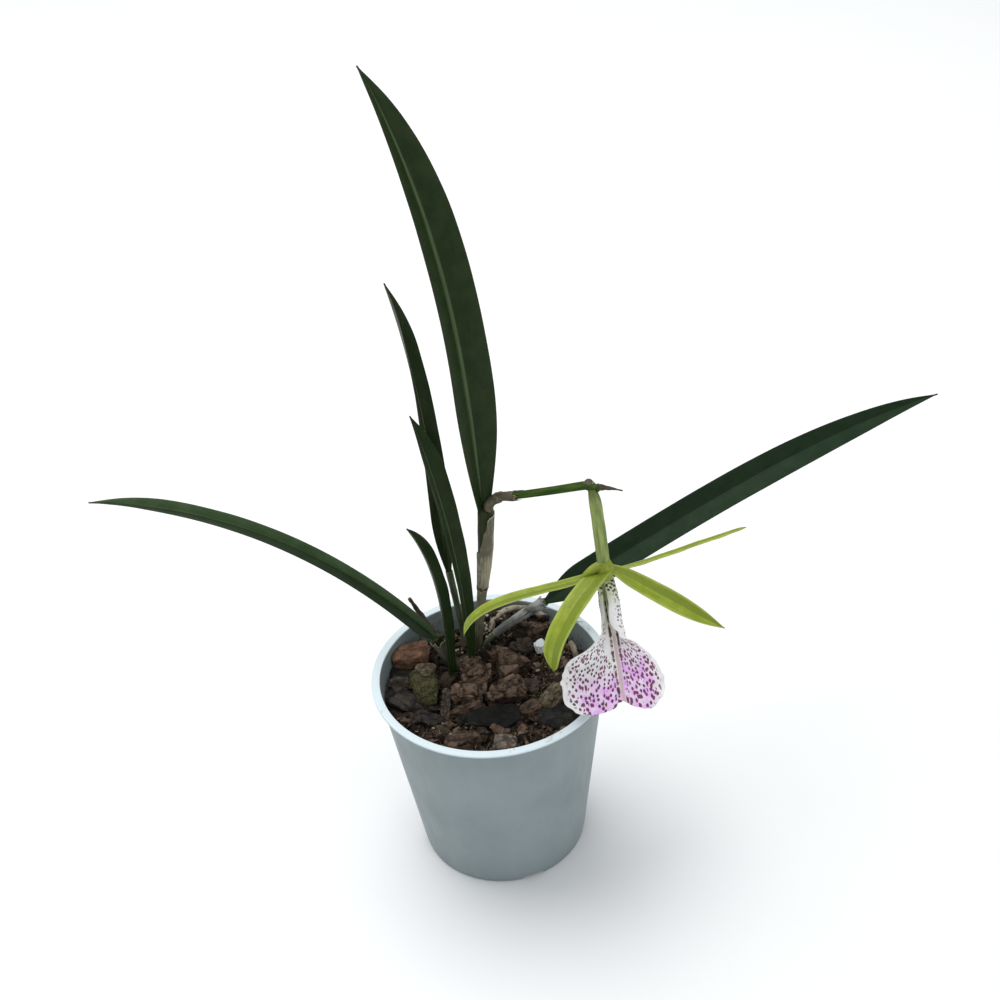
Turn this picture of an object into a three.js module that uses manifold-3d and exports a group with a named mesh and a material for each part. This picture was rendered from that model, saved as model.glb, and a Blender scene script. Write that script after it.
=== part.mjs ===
// A potted brassocattleya orchid: a plastic pot of bark, a creeping rhizome with six one-leaved
// shoots, and one hanging flower with a spotted lip.
// Millimetres, +Z up. The origin is the middle of the pot's underside, and -Y is the front.

import * as THREE from 'three';
import { mergeVertices } from 'three/addons/utils/BufferGeometryUtils.js';
import Module from 'manifold-3d';

const wasm = await Module();
wasm.setup();

// Driving dimensions

const GAP = 0.35; // clearance between neighbours that touch

const POT = {
  height: 109,
  rimRadius: 60,
  bodyTopRadius: 57,
  footRadius: 43,
  flange: 1.3,
  wall: 1.2,
  floorTop: 4.6,
  floorBend: 2,
  footBend: 1.4,
  edgeRound: 0.4,
  grooveInner: 21,
  grooveOuter: 36,
  grooveDepth: 3,
  grooveSlope: 1.5,
  facets: 36,
  notches: 4,
  notchAzimuth: -74,
  notchWidth: 12.5,
  notchHeight: 3.1,
  notchSegments: 5,
  drainHoles: 6,
  drainRadius: 4,
  drainCircle: 28.5,
  drainFacets: 14,
};

// The bark's surface is covered by small chips. Each range is [lowest, highest].
const BED = {
  level: 94,
  heapHeight: 12,
  smallChips: 26,
  chipInset: 13,
  chipLength: [15, 21],
  chipWidthShare: [0.55, 0.85],
  chipThickness: [5, 8],
  chipRise: [-0.6, 1.6],
  chipTilt: [-12, 12],
  seed: 7,
};

// The bark is heaped up against the wall at the back.
const HEAP = { at: [17, 45, 95], size: [44, 18, 21], turn: [-18, 0, 0], seed: 43 };

// How far a bark block is pressed from a ball towards a box, and how rough it is.
const BLOCK = { press: 0.7, roughness: 0.14 };

// A shoot's stem is a list of points with the radius at each.
const RHIZOME = {
  points: [
    [-25, 8, 93], [-21, 15, 93.5], [-15, 24, 93.5], [-8, 28, 93.5], [2, 31, 93.5], [9, 36, 92],
  ],
  radii: [2.2, 3.2, 3.5, 3.5, 3.3, 2.2],
};

const STEMS = {
  pseudobulb_a: {
    points: [[-5, 27, 92], [-5, 27, 101], [-1.5, 27, 130], [2.5, 27, 160], [5.2, 26.1, 190]],
    radii: [1.9, 1.7, 1.8, 3.4, 4],
  },
  stem_b: {
    points: [[-12.5, 30, 92], [-12, 36, 99.5], [-14, 38.6, 122], [-16.1, 39, 143.7]],
    radii: [1.9, 1.8, 1.7, 1.9],
  },
  stem_c: {
    points: [[-12.5, 24, 92], [-10.5, 20.8, 94.5], [-9.5, 19.3, 98]],
    radii: [2.2, 2.6, 3.3],
  },
  stem_d: {
    points: [[-21, 12.5, 92], [-20.6, 13.5, 94], [-20.3, 14, 97]],
    radii: [2.2, 2.6, 3.2],
  },
  stem_e: {
    points: [[-19.5, 19.5, 92], [-20.5, 21, 98], [-23.5, 20.4, 109], [-26.2, 20, 116.8]],
    radii: [2.2, 2.4, 2.5, 2.7],
  },
  stem_f: {
    points: [[-1, 31, 92], [-0.5, 31.4, 100.5], [7.6, 31.2, 108.4], [20, 30.7, 117.8], [31.3, 30, 124.9]],
    radii: [1.4, 1.4, 1.7, 2, 2.2],
  },
};

// A blade grows from base along a curve whose heading and elevation turn from the first to the
// second value (degrees). Its width rises from rootWidth of the full width until full, holds
// until taper and closes by the power tip. Roll turns it about its own line, and fold is the
// angle by which each half is lifted from flat. A blade is thickest on its middle line at the
// base, and thins by a share of that towards the tip and down to its edge.
const BLADE = { edge: 0.7, thinning: 0.6, tipWidth: 0.9 };
const LEAF_GRID = { rows: 18, columns: 4 };
const TEPAL_GRID = { rows: 12, columns: 4 };

const LEAVES = {
  leaf_a: {
    base: [3.6, 27, 190.4], heading: [134, 129], elevation: [88.8, 48], bend: 2, length: 219, width: 26.2,
    roll: [-21, 3], fold: 35, rootWidth: 0.31, full: 0.31, taper: 0.51, tip: 2.9, thickness: 2,
  },
  leaf_b: {
    base: [-16.1, 39, 144.1], heading: [134, 147], elevation: [87, 74.5], bend: 2.4, length: 160.5,
    width: 13.2, roll: [-52, 24], fold: 36, rootWidth: 0.24,
    full: 0.24, taper: 0.77, tip: 2.2, thickness: 1.6,
  },
  leaf_c: {
    base: [-9.4, 19.3, 98.3], heading: [137.6, 136.2], elevation: [90, 68], bend: 1.4, length: 145.5,
    width: 14.9, roll: [-4, 6], fold: 31, rootWidth: 0.34,
    full: 0.78, taper: 0.78, tip: 1.9, thickness: 1.7,
  },
  leaf_d: {
    base: [-20.3, 14, 97.5], heading: [145, 168], elevation: [89.6, 60], bend: 2.6, length: 93, width: 13.2,
    roll: [-3, 4], fold: 29, rootWidth: 0.48, full: 0.74, taper: 0.79, tip: 2, thickness: 1.5,
  },
  leaf_e: {
    base: [-26.6, 20, 117.4], heading: [157, 175], elevation: [44, 4], bend: 1, length: 190, width: 10.2,
    roll: [-65, -4], fold: 35, rootWidth: 0.4, full: 0.06, taper: 0.75, tip: 2.4, thickness: 1.8,
  },
  leaf_f: {
    base: [31.9, 30, 125.2], heading: [9.5, 24], elevation: [25.5, -3.5], bend: 1.7, length: 237,
    width: 17.6, roll: [33, 27], fold: 15, rootWidth: 0.19,
    full: 0.1, taper: 0.45, tip: 2.5, thickness: 2,
  },
};

// The sepals come before the petals, because each is trimmed to clear those before it.
const TEPALS = {
  sepal_front: {
    base: [57.2, -7.2, 170.8], heading: [236, 213.6], elevation: [3.4, -96.7], bend: 1.46, length: 60.3,
    width: 12.9,
    roll: [12, 5], fold: 12, rootWidth: 0.4, full: 0.26, taper: 0.81, tip: 3.4, thickness: 0.9,
  },
  sepal_right: {
    base: [61.5, -4.3, 168.6], heading: [30, 8], elevation: [-26, 11], bend: 0.45, length: 75.2, width: 6.3,
    roll: [-20, -24], fold: 8, rootWidth: 0.45, full: 0.36, taper: 0.85, tip: 5, thickness: 0.9,
  },
  sepal_back: {
    base: [59.9, -2, 171], heading: [90, 90], elevation: [-62, -92], bend: 0.35, length: 49, width: 6.5,
    roll: [0, 0], fold: 8, rootWidth: 0.45, full: 0.3, taper: 0.6, tip: 2.3, thickness: 0.9,
  },
  petal_left: {
    base: [57, -6.2, 168.4], heading: [201.4, 161.7], elevation: [0.2, -81.6], bend: 2.8, length: 81,
    width: 6.3,
    roll: [7.5, -22], fold: 12, rootWidth: 0.45, full: 0.18, taper: 0.88, tip: 2.5, thickness: 0.9,
  },
  petal_right: {
    base: [61.2, -6.4, 171.4], heading: [-12.6, -31.7], elevation: [-30.3, -16.4], bend: 1.65,
    length: 61.4, width: 9.7,
    roll: [8.7, 72], fold: 12, rootWidth: 0.4, full: 0.2, taper: 0.41, tip: 2.9, thickness: 0.9,
  },
};

// The lip is measured along its middle line. The claw is rolled into a tube round the column,
// and past it the lamina opens into two waved lobes. Each table gives [distance, value] pairs.
const LIP = {
  base: [58.9, -3.2, 160.2],
  down: [0.05, -0.68, -0.73],
  front: [0, -0.73, 0.68],
  length: 56.2,
  clawLength: 26,
  clawOpens: 24,
  laminaFlat: 40,
  leftCurl: [[0, 3.9], [9, 4.7], [19, 5.1], [26, 9], [31, 25], [36, 60], [45, 90]],
  rightCurl: [[0, 3.9], [9, 4.7], [24, 5], [28, 6], [31, 14], [37, 60]],
  leftArc: [
    [0, 9.6], [9, 11.4], [19, 10], [26, 10.5], [30.5, 15.8], [33, 22], [36, 25.8], [45, 28.3],
    [53, 27], [57, 20],
  ],
  rightArc: [
    [0, 11.6], [9, 14.2], [22, 14.8], [28, 12.4], [31, 12.2], [36.5, 17.4], [41, 20], [47, 21.6],
    [54, 19.5], [57, 14.5],
  ],
  lobes: 5.2,
  lobeTurn: 130,
  leftTurn: 6,
  rightTurn: 30,
  wave: 1.2,
  waves: 4,
  rightWaveShift: 80,
  thickness: 0.8,
  rows: 16,
  columns: 12,
};

const FLOWER_STALK = {
  points: [
    [6.6, 23.9, 190.8], [7.3, 23.7, 194], [11.2, 22.1, 198.6], [19.7, 18, 201.8], [36.5, 9.3, 208.8],
    [51.5, 1.5, 215.4], [53.2, 0.6, 216], [54.8, -0.2, 216.1],
  ],
  radii: [1.6, 1.7, 1.8, 1.85, 1.95, 2.1, 2.6, 2.1],
};

const OVARY = {
  points: [
    [54.6, -0.6, 214.5], [55.7, -1.7, 207.5], [56.7, -2.9, 196], [57.6, -4.3, 183], [58.2, -5.3, 174.6],
  ],
  radii: [2, 2.9, 3.1, 3, 3],
};

// The column is broad where it leaves the ovary, and the petals and sepals stand on it there.
const COLUMN = {
  points: [[58.4, -5.6, 174.3], [58.9, -6.4, 169.6], [59.2, -8.5, 164], [59.3, -11, 159.5], [59.4, -13, 157]],
  radii: [3.2, 3.3, 1.9, 1.9, 1.4],
};

const DRIED_TIP = {
  points: [
    [55.4, -0.5, 215.9], [58.2, -1.1, 215.5], [61, -1.5, 215], [64.6, -2.2, 214.5], [68.4, -3, 213.6],
  ],
  radii: [1.5, 1.4, 0.9, 0.7, 0.35],
};

// A sheath covers a stem from one share of its length to another, and wraps round it by so many
// degrees to either side of the way it faces.
const SHEATHS = {
  sheath_a: { stem: STEMS.pseudobulb_a, from: 0.2, to: 0.93, wrap: 158, facing: [0.6, -1, 0], rows: 9 },
  sheath_e: { stem: STEMS.stem_e, from: 0.4, to: 0.94, wrap: 150, facing: [0.6, -1, 0.2], rows: 5 },
  sheath_f: { stem: STEMS.stem_f, from: 0.34, to: 0.96, wrap: 150, facing: [0, -0.6, 1], rows: 7 },
};
const STALK_BRACT = {
  stem: FLOWER_STALK, from: 0.12, to: 0.42, wrap: 160, facing: [0.3, -0.6, -0.6], rows: 6,
};
const SHEATH_THICKNESS = 0.6;
const SHEATH_COLUMNS = 8;

const THIN_SIDES = 6; // sides of roots and other thin round pieces

const ROOTS = {
  aerial_root_a: {
    points: [
      [1, 39, 93], [3, 43, 101.5], [7.5, 46.3, 105.3], [14.5, 48.3, 107.2], [21.5, 47.4, 107.2],
      [28, 44, 105.8], [32, 41, 103], [33.5, 39, 95],
    ],
    radii: [1.8, 1.8],
  },
  aerial_root_b: {
    points: [[36.5, 36, 92], [36.6, 35, 100], [37.4, 32, 103.4], [38.6, 29, 101.5], [39, 28, 92]],
    radii: [1.4, 1.4],
  },
  aerial_root_c: {
    points: [[42.6, 24.6, 92], [42.4, 23.6, 100.5], [43.2, 20, 102.2], [44.2, 16, 100], [44.6, 15, 92]],
    radii: [1.4, 1.4],
  },
};

const DEAD_STUB = {
  points: [[-22, 30.5, 92], [-24, 31, 101], [-30, 33.5, 114], [-37.8, 36.5, 130.5]],
  radii: [2, 2, 1.7, 0.9],
};

// The larger bark chips: place, size, and turns about Z, X and Y.
const BARK = {
  chip_red_round: {
    at: [-39.5, 25.5, 100.5], size: [19, 14, 10], turn: [28, -8, 6], seed: 11, tint: 0x8a4f38,
  },
  chip_mossy: { at: [-33.5, 4.5, 98], size: [14, 28, 11], turn: [12, 10, -4], seed: 12, tint: 0x5f5c2c },
  chip_slab_upper: { at: [-45, 9.5, 96.5], size: [11, 10, 7], turn: [8, 0, 6], seed: 13, tint: 0x2e2724 },
  chip_slab_lower: { at: [-43, -5, 95.5], size: [14, 16, 7], turn: [-12, -4, 8], seed: 14, tint: 0x2b2422 },
  chip_black_left: { at: [-34, -17.5, 95], size: [14, 11, 7], turn: [30, -6, 4], seed: 15, tint: 0x1d1b1b },
  chip_sliver_upright: {
    at: [-24, -10.5, 97], size: [5.5, 21, 7], turn: [-6, 12, 0], seed: 16, tint: 0x5c4338,
  },
  chip_sliver_long: {
    at: [-13, -13.5, 97], size: [22, 7, 6], turn: [10, -6, -6], seed: 17, tint: 0x6b4033,
  },
  clump_upper_left: {
    at: [-7.5, 10.5, 98.5], size: [14, 18, 11], turn: [20, 0, 0], seed: 18, tint: 0x5e3d30,
  },
  clump_upper_right: { at: [9.5, 14, 99], size: [19, 22, 12], turn: [-25, 0, 0], seed: 19, tint: 0x66443a },
  clump_lower_left: {
    at: [-11.5, -4, 98], size: [17, 15, 10], turn: [-15, 0, 0], seed: 20, tint: 0x54362c,
  },
  clump_lower_right: { at: [7, -4.5, 98], size: [19, 14, 10], turn: [8, 0, 0], seed: 21, tint: 0x5a3a30 },
  chip_black_hollow: {
    at: [-0.5, -21, 95.5], size: [28, 15, 9], turn: [4, 8, 0], seed: 22, tint: 0x191817,
  },
  chip_red_front: {
    at: [-17, -34.5, 95.5], size: [17, 12, 7], turn: [18, -10, 0], seed: 23, tint: 0x7a4a39,
  },
  chip_grey_front: { at: [3, -39, 95.5], size: [12, 12, 7], turn: [-12, -12, 0], seed: 24, tint: 0x6a5348 },
  chip_black_slab: {
    at: [31, -24.5, 95.5], size: [19, 17, 7], turn: [-35, 0, -4], seed: 25, tint: 0x232326,
  },
  chip_olive: { at: [28.5, -9.5, 96.5], size: [13, 13, 9], turn: [25, 0, 8], seed: 26, tint: 0x5b5038 },
  chip_back: { at: [26.5, 37, 99], size: [14, 10, 13], turn: [15, 0, 0], seed: 27, tint: 0x5a3c33 },
  perlite: { at: [26.5, 27, 98], size: [6.5, 7.5, 6.5], turn: [0, 0, 0], seed: 28, tint: 0xe8ecec },
};

// Small helpers

const radians = THREE.MathUtils.degToRad;
const vector = (p) => new THREE.Vector3(p[0], p[1], p[2]);
const between = (range, share) => THREE.MathUtils.lerp(range[0], range[1], share);

// A seeded random source, so that every build gives the same bark.
function randomSource(seed) {
  let state = seed * 2654435761;
  return () => {
    state = (state * 1664525 + 1013904223) >>> 0;
    return state / 4294967296;
  };
}

// The value at x of a table of [x, value] pairs, eased between its rows.
function eased(table, x) {
  const last = table[table.length - 1];
  if (x <= table[0][0]) return table[0][1];
  if (x >= last[0]) return last[1];
  const i = table.findIndex((row) => row[0] > x) - 1;
  const k = (x - table[i][0]) / (table[i + 1][0] - table[i][0]);
  return THREE.MathUtils.lerp(table[i][1], table[i + 1][1], k * k * (3 - 2 * k));
}

function geometryFrom(vertices, triangles) {
  const geometry = new THREE.BufferGeometry().setFromPoints(vertices);
  geometry.setIndex(triangles.flat());
  return signedVolume(geometry) < 0 ? turnedInsideOut(geometry) : geometry;
}

function signedVolume(geometry) {
  const position = geometry.getAttribute('position');
  const index = geometry.getIndex();
  const corner = [new THREE.Vector3(), new THREE.Vector3(), new THREE.Vector3()];
  let volume = 0;
  for (let i = 0; i < index.count; i += 3) {
    corner.forEach((c, k) => c.fromBufferAttribute(position, index.getX(i + k)));
    volume += corner[0].dot(corner[1].clone().cross(corner[2])) / 6;
  }
  return volume;
}

function turnedInsideOut(geometry) {
  const index = Array.from(geometry.getIndex().array);
  for (let i = 0; i < index.length; i += 3) {
    [index[i + 1], index[i + 2]] = [index[i + 2], index[i + 1]];
  }
  geometry.setIndex(index);
  return geometry;
}

// Joining and cutting

function toSolid(geometry) {
  const bare = geometry.clone();
  bare.deleteAttribute('normal');
  bare.deleteAttribute('uv');
  const merged = mergeVertices(bare, 1e-4);
  return new wasm.Manifold(new wasm.Mesh({
    numProp: 3,
    vertProperties: new Float32Array(merged.getAttribute('position').array),
    triVerts: new Uint32Array(merged.getIndex().array),
  }));
}

function toGeometry(solid) {
  const mesh = solid.getMesh();
  const geometry = new THREE.BufferGeometry();
  geometry.setAttribute('position', new THREE.Float32BufferAttribute(mesh.vertProperties, 3));
  geometry.setIndex(Array.from(mesh.triVerts));
  return geometry;
}

// Only the largest piece is kept: a cut can leave loose scraps.
function largestPiece(solid) {
  return solid.decompose().reduce((best, piece) => (piece.volume() > best.volume() ? piece : best));
}

function cutBy(solid, cutters) {
  const cut = cutters.reduce((rest, cutter) => rest.subtract(cutter), solid);
  return largestPiece(cut);
}

// Round stems along a curve

function stalk(points, radii, { steps = (points.length - 1) * 3, sides = 8, grow = 0 } = {}) {
  const curve = new THREE.CatmullRomCurve3(points.map(vector), false, 'centripetal');
  const table = radii.map((radius, i) => [i / (radii.length - 1), radius]);
  const frames = curve.computeFrenetFrames(steps, false);
  const vertices = [];
  for (let i = 0; i <= steps; i += 1) {
    const u = i / steps;
    const centre = curve.getPoint(u);
    for (let j = 0; j < sides; j += 1) {
      const a = (j / sides) * Math.PI * 2;
      const out = frames.normals[i].clone().multiplyScalar(Math.cos(a));
      out.addScaledVector(frames.binormals[i], Math.sin(a));
      vertices.push(centre.clone().addScaledVector(out, eased(table, u) + grow));
    }
  }
  const triangles = tubeTriangles(steps, sides);
  vertices.push(curve.getPoint(0).addScaledVector(frames.tangents[0], -grow));
  vertices.push(curve.getPoint(1).addScaledVector(frames.tangents[steps], grow));
  const first = vertices.length - 2;
  const last = vertices.length - 1;
  for (let j = 0; j < sides; j += 1) {
    const next = (j + 1) % sides;
    triangles.push([first, next, j], [last, steps * sides + j, steps * sides + next]);
  }
  return geometryFrom(vertices, triangles);
}

function tubeTriangles(steps, sides) {
  const triangles = [];
  for (let i = 0; i < steps; i += 1) {
    for (let j = 0; j < sides; j += 1) {
      const next = (j + 1) % sides;
      const a = i * sides + j;
      const b = i * sides + next;
      triangles.push([a, b, b + sides], [a, b + sides, a + sides]);
    }
  }
  return triangles;
}

// Thin sheets: leaves, petals, sheaths and the lip

// place(v, t) gives a point of the middle surface, v from 0 to 1 and t from -1 to 1.
function sheet(place, rows, columns, thickness) {
  const middle = [];
  for (let i = 0; i <= rows; i += 1) {
    middle.push(Array.from({ length: columns + 1 }, (_, j) => place(i / rows, -1 + (2 * j) / columns)));
  }
  const vertices = [];
  const stride = columns + 1;
  const count = (rows + 1) * stride;
  for (const side of [0.5, -0.5]) {
    for (let i = 0; i <= rows; i += 1) {
      for (let j = 0; j <= columns; j += 1) {
        const normal = sheetNormal(middle, i, j, rows, columns);
        const offset = side * thickness(i / rows, -1 + (2 * j) / columns);
        vertices.push(middle[i][j].clone().addScaledVector(normal, offset));
      }
    }
  }
  return geometryFrom(vertices, sheetTriangles(rows, columns, stride, count));
}

function sheetNormal(middle, i, j, rows, columns) {
  const along = middle[Math.min(i + 1, rows)][j].clone().sub(middle[Math.max(i - 1, 0)][j]);
  const across = middle[i][Math.min(j + 1, columns)].clone().sub(middle[i][Math.max(j - 1, 0)]);
  return along.cross(across).normalize();
}

function sheetTriangles(rows, columns, stride, count) {
  const triangles = [];
  for (let i = 0; i < rows; i += 1) {
    for (let j = 0; j < columns; j += 1) {
      const a = i * stride + j;
      const b = a + stride;
      triangles.push([a, b, b + 1], [a, b + 1, a + 1]);
      triangles.push([count + a, count + b + 1, count + b], [count + a, count + a + 1, count + b + 1]);
    }
  }
  const wall = (a, b) => triangles.push([b, count + b, count + a], [b, count + a, a]);
  for (let i = 0; i < rows; i += 1) {
    wall((i + 1) * stride, i * stride);
    wall(i * stride + columns, (i + 1) * stride + columns);
  }
  for (let j = 0; j < columns; j += 1) {
    wall(j, j + 1);
    wall(rows * stride + j + 1, rows * stride + j);
  }
  return triangles;
}

// The middle line of a blade and the directions across it, at even steps.
function bladeLine(blade, steps) {
  const turn = (range, k) => radians(between(range, k));
  const direction = (v) => {
    const heading = turn(blade.heading, v);
    const elevation = turn(blade.elevation, v ** blade.bend);
    return new THREE.Vector3(
      Math.cos(elevation) * Math.cos(heading),
      Math.cos(elevation) * Math.sin(heading),
      Math.sin(elevation),
    );
  };
  const line = [];
  const point = vector(blade.base);
  for (let i = 0; i <= steps; i += 1) {
    const v = i / steps;
    const heading = turn(blade.heading, v);
    const roll = turn(blade.roll, v);
    const tangent = direction(v);
    const level = new THREE.Vector3(-Math.sin(heading), Math.cos(heading), 0);
    const up = tangent.clone().cross(level);
    const across = level.multiplyScalar(Math.cos(roll)).addScaledVector(up, Math.sin(roll));
    line.push({ point: point.clone(), across, face: tangent.clone().cross(across) });
    point.addScaledVector(direction(v + 0.5 / steps), blade.length / steps);
  }
  return line;
}

function bladeWidth(blade, v) {
  const rise = Math.sin(Math.min(v / blade.full, 1) * Math.PI * 0.5);
  const fall = Math.max((v - blade.taper) / (1 - blade.taper), 0) ** blade.tip;
  return blade.width * (blade.rootWidth + (1 - blade.rootWidth) * rise) * (1 - fall);
}

function bladeSheet(blade, { rows, columns, grow = 0 }) {
  const line = bladeLine(blade, rows);
  const fold = radians(blade.fold);
  const place = (v, t) => {
    const { point, across, face } = line[Math.round(v * rows)];
    const half = Math.max(bladeWidth(blade, v), BLADE.tipWidth) / 2 + grow;
    return point.clone()
      .addScaledVector(across, t * half * Math.cos(fold))
      .addScaledVector(face, Math.abs(t) * half * Math.sin(fold));
  };
  const thickness = (v, t) => {
    const ridge = (blade.thickness - BLADE.edge) * (1 - BLADE.thinning * v);
    return BLADE.edge + ridge * (1 - t * t) + 2 * grow;
  };
  return sheet(place, rows, columns, thickness);
}

// The pot

const outerRadius = (z) => between([POT.footRadius, POT.bodyTopRadius], z / (POT.height - POT.flange));
const innerRadius = (z) => outerRadius(z) - POT.wall;

function latheOf(profile, facets) {
  const geometry = new THREE.LatheGeometry(profile.map(([r, z]) => new THREE.Vector2(r, z)), facets);
  geometry.rotateX(Math.PI / 2);
  geometry.deleteAttribute('normal');
  geometry.deleteAttribute('uv');
  const merged = mergeVertices(geometry, 1e-4);
  return signedVolume(merged) < 0 ? turnedInsideOut(merged) : merged;
}

function potBody() {
  const { height, rimRadius, bodyTopRadius, footRadius, wall, floorTop, edgeRound } = POT;
  const { grooveInner, grooveOuter, grooveDepth, grooveSlope, floorBend, footBend } = POT;
  const underFlange = height - POT.flange;
  const mouth = bodyTopRadius - wall;
  return latheOf([
    [0, 0],
    [grooveInner, 0],
    [grooveInner + grooveSlope, grooveDepth],
    [grooveOuter, grooveDepth],
    [grooveOuter + grooveSlope, 0],
    [footRadius - footBend, 0],
    [outerRadius(footBend), footBend],
    [bodyTopRadius, underFlange],
    [rimRadius - edgeRound, underFlange],
    [rimRadius, underFlange + edgeRound],
    [rimRadius, height - edgeRound],
    [rimRadius - edgeRound, height],
    [mouth + edgeRound, height],
    [mouth, height - edgeRound],
    [innerRadius(floorTop + floorBend), floorTop + floorBend],
    [innerRadius(floorTop) - floorBend, floorTop],
    [0, floorTop],
  ], POT.facets);
}

// An arched bar along X from the axis outwards, which cuts one drain notch in the foot.
function notchCutter(index) {
  const half = POT.notchWidth / 2;
  const shoulder = half * 0.55;
  const arch = new THREE.Shape();
  arch.moveTo(-half, -1);
  arch.lineTo(half, -1);
  arch.lineTo(half, 0);
  arch.quadraticCurveTo(shoulder, POT.notchHeight, 0, POT.notchHeight);
  arch.quadraticCurveTo(-shoulder, POT.notchHeight, -half, 0);
  const bar = new THREE.ExtrudeGeometry(arch, {
    depth: POT.footRadius,
    bevelEnabled: false,
    curveSegments: POT.notchSegments,
  });
  bar.rotateX(Math.PI / 2);
  bar.rotateZ(Math.PI / 2);
  bar.translate((POT.grooveInner + POT.grooveOuter) / 2, 0, 0);
  bar.rotateZ(radians(POT.notchAzimuth + (360 / POT.notches) * index));
  return toSolid(bar);
}

function drainCutter(index) {
  const { drainRadius, drainFacets, floorTop } = POT;
  const hole = new THREE.CylinderGeometry(drainRadius, drainRadius, floorTop * 4, drainFacets);
  hole.rotateX(Math.PI / 2);
  hole.translate(POT.drainCircle, 0, 0);
  hole.rotateZ(((index + 0.5) / POT.drainHoles) * Math.PI * 2);
  return toSolid(hole);
}

function pot() {
  const notches = Array.from({ length: POT.notches }, (_, i) => notchCutter(i));
  const holes = Array.from({ length: POT.drainHoles }, (_, i) => drainCutter(i));
  return cutBy(toSolid(potBody()), [...notches, ...holes]);
}

// Bark

// A rough block: a ball pressed towards a box, with each corner moved a little.
function barkBlock(size, seed, detail) {
  const random = randomSource(seed);
  const block = mergeVertices(bareIcosahedron(detail), 1e-4);
  const position = block.getAttribute('position');
  const corner = new THREE.Vector3();
  for (let i = 0; i < position.count; i += 1) {
    corner.fromBufferAttribute(position, i);
    const moved = corner.toArray().map((c, axis) => {
      const pressed = Math.sign(c) * Math.abs(c) ** BLOCK.press;
      const rough = 1 + BLOCK.roughness * (2 * random() - 1);
      return pressed * rough * size[axis] * 0.5;
    });
    position.setXYZ(i, ...moved);
  }
  return block;
}

function bareIcosahedron(detail) {
  const ball = new THREE.IcosahedronGeometry(1, detail);
  ball.deleteAttribute('normal');
  ball.deleteAttribute('uv');
  return ball;
}

function placedBlock({ at, size, turn, seed }, grow = 0, detail = 1) {
  const block = barkBlock(size.map((s) => s + grow * 2), seed, detail);
  block.rotateY(radians(turn[2]));
  block.rotateX(radians(turn[1]));
  block.rotateZ(radians(turn[0]));
  block.translate(...at);
  return toSolid(block);
}

// What fills the pot from its floor to a height, clear of the wall.
function bedCore(high) {
  const low = POT.floorTop + GAP;
  const bend = POT.floorBend + GAP;
  return toSolid(latheOf([
    [0, low],
    [innerRadius(low) - bend, low],
    [innerRadius(low + bend) - GAP, low + bend],
    [innerRadius(high) - GAP, high],
    [0, high],
  ], POT.facets));
}

// Small chips on a sunflower spread, so that they cover the bed evenly, each with a random turn.
function smallChips() {
  const random = randomSource(BED.seed);
  const reach = innerRadius(BED.level) - BED.chipInset;
  const golden = Math.PI * (3 - Math.sqrt(5));
  return Array.from({ length: BED.smallChips }, (_, i) => {
    const radius = reach * Math.sqrt((i + 0.5) / BED.smallChips);
    const height = BED.level + between(BED.chipRise, random());
    const length = between(BED.chipLength, random());
    const width = length * between(BED.chipWidthShare, random());
    const tilt = () => between(BED.chipTilt, random());
    return placedBlock({
      at: [radius * Math.cos(i * golden), radius * Math.sin(i * golden), height],
      size: [length, width, between(BED.chipThickness, random())],
      turn: [360 * random(), tilt(), tilt()],
      seed: BED.seed * 100 + i,
    }, 0, 0);
  });
}

function bed(cutters, space) {
  const blocks = [...smallChips(), placedBlock(HEAP).intersect(space)];
  const heaped = blocks.reduce((heap, block) => heap.add(block), bedCore(BED.level));
  return cutBy(heaped, cutters);
}

// The flower

function lipPlace() {
  const base = vector(LIP.base);
  const down = vector(LIP.down).normalize();
  const front = vector(LIP.front).addScaledVector(down, -vector(LIP.front).dot(down)).normalize();
  const right = front.clone().cross(down);
  return (v, t) => {
    const left = t < 0;
    const distance = v * LIP.length;
    const spread = Math.max((distance - LIP.clawLength) / (LIP.length - LIP.clawLength), 0);
    const opened = THREE.MathUtils.smoothstep(distance, LIP.clawOpens, LIP.laminaFlat);
    const curl = eased(left ? LIP.leftCurl : LIP.rightCurl, distance);
    const arc = Math.abs(t) * eased(left ? LIP.leftArc : LIP.rightArc, distance);
    const lobe = LIP.lobes * Math.sin(radians(Math.abs(t) * LIP.lobeTurn)) * spread ** 2;
    const back = Math.tan(radians(left ? LIP.leftTurn : LIP.rightTurn)) * arc * opened;
    const phase = radians(360 * v * LIP.waves + (left ? 0 : LIP.rightWaveShift));
    const ripple = LIP.wave * t * t * Math.sin(phase) * opened;
    return base.clone()
      .addScaledVector(down, distance + lobe)
      .addScaledVector(right, Math.sign(t) * curl * Math.sin(arc / curl))
      .addScaledVector(front, curl * (1 - Math.cos(arc / curl)) - back + ripple);
  };
}

// A dry sheath: a strip wrapped most of the way round a stem, over part of its length.
function sheath({ stem, from, to, wrap, facing, rows }) {
  const curve = new THREE.CatmullRomCurve3(stem.points.map(vector), false, 'centripetal');
  const table = stem.radii.map((radius, i) => [i / (stem.radii.length - 1), radius]);
  const place = (v, t) => {
    const u = between([from, to], v);
    const tangent = curve.getTangent(u);
    const side = vector(facing).addScaledVector(tangent, -vector(facing).dot(tangent)).normalize();
    const other = tangent.clone().cross(side);
    const angle = t * radians(wrap);
    const radius = eased(table, u) + GAP + SHEATH_THICKNESS / 2;
    return curve.getPoint(u)
      .addScaledVector(side, radius * Math.cos(angle))
      .addScaledVector(other, radius * Math.sin(angle));
  };
  return sheet(place, rows, SHEATH_COLUMNS, () => SHEATH_THICKNESS);
}

// The whole plant

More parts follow.
